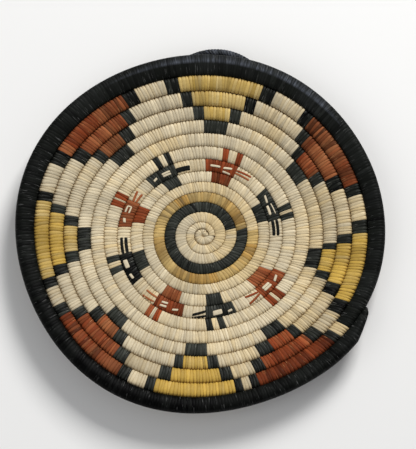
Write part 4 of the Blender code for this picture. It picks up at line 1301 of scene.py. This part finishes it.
def add_floor(scene, stage):
    """A wide round floor just under the plaque."""
    angles = circle(FLOOR_SIDES)
    points = np.stack((np.cos(angles) * FLOOR_RADIUS, np.sin(angles) * FLOOR_RADIUS,
                       angles * 0 - FLOOR_GAP), -1)
    mesh = bpy.data.meshes.new("floor")
    mesh.from_pydata(points.tolist(), [], [tuple(range(FLOOR_SIDES))])
    floor = bpy.data.objects.new("floor", mesh)
    scene.collection.objects.link(floor)
    material = bpy.data.materials.new("floor_paint")
    material.use_nodes = True
    shader = material.node_tree.nodes["Principled BSDF"]
    shader.inputs["Base Color"].default_value = (*stage.floor, 1.0)
    shader.inputs["Roughness"].default_value = FLOOR_ROUGHNESS
    mesh.materials.append(material)
    floor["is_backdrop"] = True


def add_world(scene):
    """Pale light from all round, and a paler backdrop that only the camera sees."""
    world = bpy.data.worlds.new("studio")
    scene.world = world
    world.use_nodes = True
    nodes = Nodes(world.node_tree)
    light = nodes.tree.nodes["Background"]
    nodes.feed(light.inputs["Color"], LIGHT_COLOUR)
    nodes.feed(light.inputs["Strength"], LIGHT_STRENGTH)
    shown = nodes.add("Background", {"Color": BACKDROP_COLOUR})
    seen = nodes.add("LightPath", {}, "Is Camera Ray")
    nodes.feed(nodes.tree.nodes["World Output"].inputs[0],
               nodes.add("MixShader", {0: seen, 1: light.outputs[0], 2: shown}))


def add_lamp(scene, name, place, size, power, target):
    """A square soft lamp aimed at a point."""
    lamp = bpy.data.lights.new(name, "AREA")
    lamp.shape, lamp.size, lamp.energy = "SQUARE", size, power
    item = bpy.data.objects.new(name, lamp)
    item.location = place
    item.rotation_euler = (item.location - target).to_track_quat("Z", "Y").to_euler()
    scene.collection.objects.link(item)


def add_camera(scene, stage):
    """A long lens at the photograph's angle; the frame's height at the plaque sets the lens."""
    width, height = PICTURE_SIZE
    scale = stage.frame_height / height
    elevation = stage.elevation
    back = np.array((0.0, -math.cos(elevation), math.sin(elevation)))
    up = np.array((0.0, math.sin(elevation), math.cos(elevation)))
    target = np.array((0.0, 0.0, COIL_THICKNESS / 2)) + up * (PLAQUE_PIXEL[1] - height / 2) * scale
    target[0] += (width / 2 - PLAQUE_PIXEL[0]) * scale
    camera = bpy.data.cameras.new("camera")
    camera.sensor_fit = "VERTICAL"
    camera.sensor_height = SENSOR_HEIGHT
    camera.lens = SENSOR_HEIGHT * stage.distance / stage.frame_height
    camera.clip_end = CAMERA_REACH
    item = bpy.data.objects.new("camera", camera)
    item.location = target + back * stage.distance
    item.rotation_euler = (math.pi / 2 - elevation, 0.0, 0.0)
    scene.collection.objects.link(item)
    scene.camera = item


OPERATORS = (
    PLAQUE_OT_start_knot, PLAQUE_OT_grass_bundle, PLAQUE_OT_plain_rounds, PLAQUE_OT_figure_rounds,
    PLAQUE_OT_star_rounds, PLAQUE_OT_black_rim, PLAQUE_OT_laid_splints, PLAQUE_OT_hanging_loop,
    PLAQUE_OT_stage,
)


class PLAQUE_PT_panel(bpy.types.Panel):
    """Lists the plaque's sizes, colours and steps."""

    bl_idname = "PLAQUE_PT_panel"
    bl_label = "Coiled plaque"
    bl_space_type = "VIEW_3D"
    bl_region_type = "UI"
    bl_category = "Plaque"

    def draw(self, context):
        scene = context.scene
        for group in (scene.plaque_stitches, scene.plaque_colours, scene.plaque_stage):
            box = self.layout.box()
            for key in group.bl_rna.properties.keys():
                if key not in ("rna_type", "name"):
                    box.prop(group, key)
        for operator in OPERATORS:
            self.layout.operator(operator.bl_idname)


CLASSES = (PlaqueStitches, PlaqueColours, PlaqueStage, *OPERATORS, PLAQUE_PT_panel)


def register():
    """Register the classes and hang the settings on the scene."""
    for item in CLASSES:
        bpy.utils.register_class(item)
    bpy.types.Scene.plaque_stitches = bpy.props.PointerProperty(type=PlaqueStitches)
    bpy.types.Scene.plaque_colours = bpy.props.PointerProperty(type=PlaqueColours)
    bpy.types.Scene.plaque_stage = bpy.props.PointerProperty(type=PlaqueStage)


def unregister():
    """Take the settings and the classes away again."""
    del bpy.types.Scene.plaque_stitches, bpy.types.Scene.plaque_colours, bpy.types.Scene.plaque_stage
    for item in reversed(CLASSES):
        bpy.utils.unregister_class(item)


def main():
    """Make every piece in order."""
    register()
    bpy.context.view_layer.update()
    bpy.ops.plaque.start_knot()
    bpy.ops.plaque.grass_bundle()
    bpy.ops.plaque.plain_rounds()
    bpy.ops.plaque.figure_rounds()
    bpy.ops.plaque.star_rounds()
    bpy.ops.plaque.black_rim()
    bpy.ops.plaque.laid_splints()
    bpy.ops.plaque.hanging_loop()
    bpy.ops.plaque.stage()


if __name__ == "__main__":
    main()
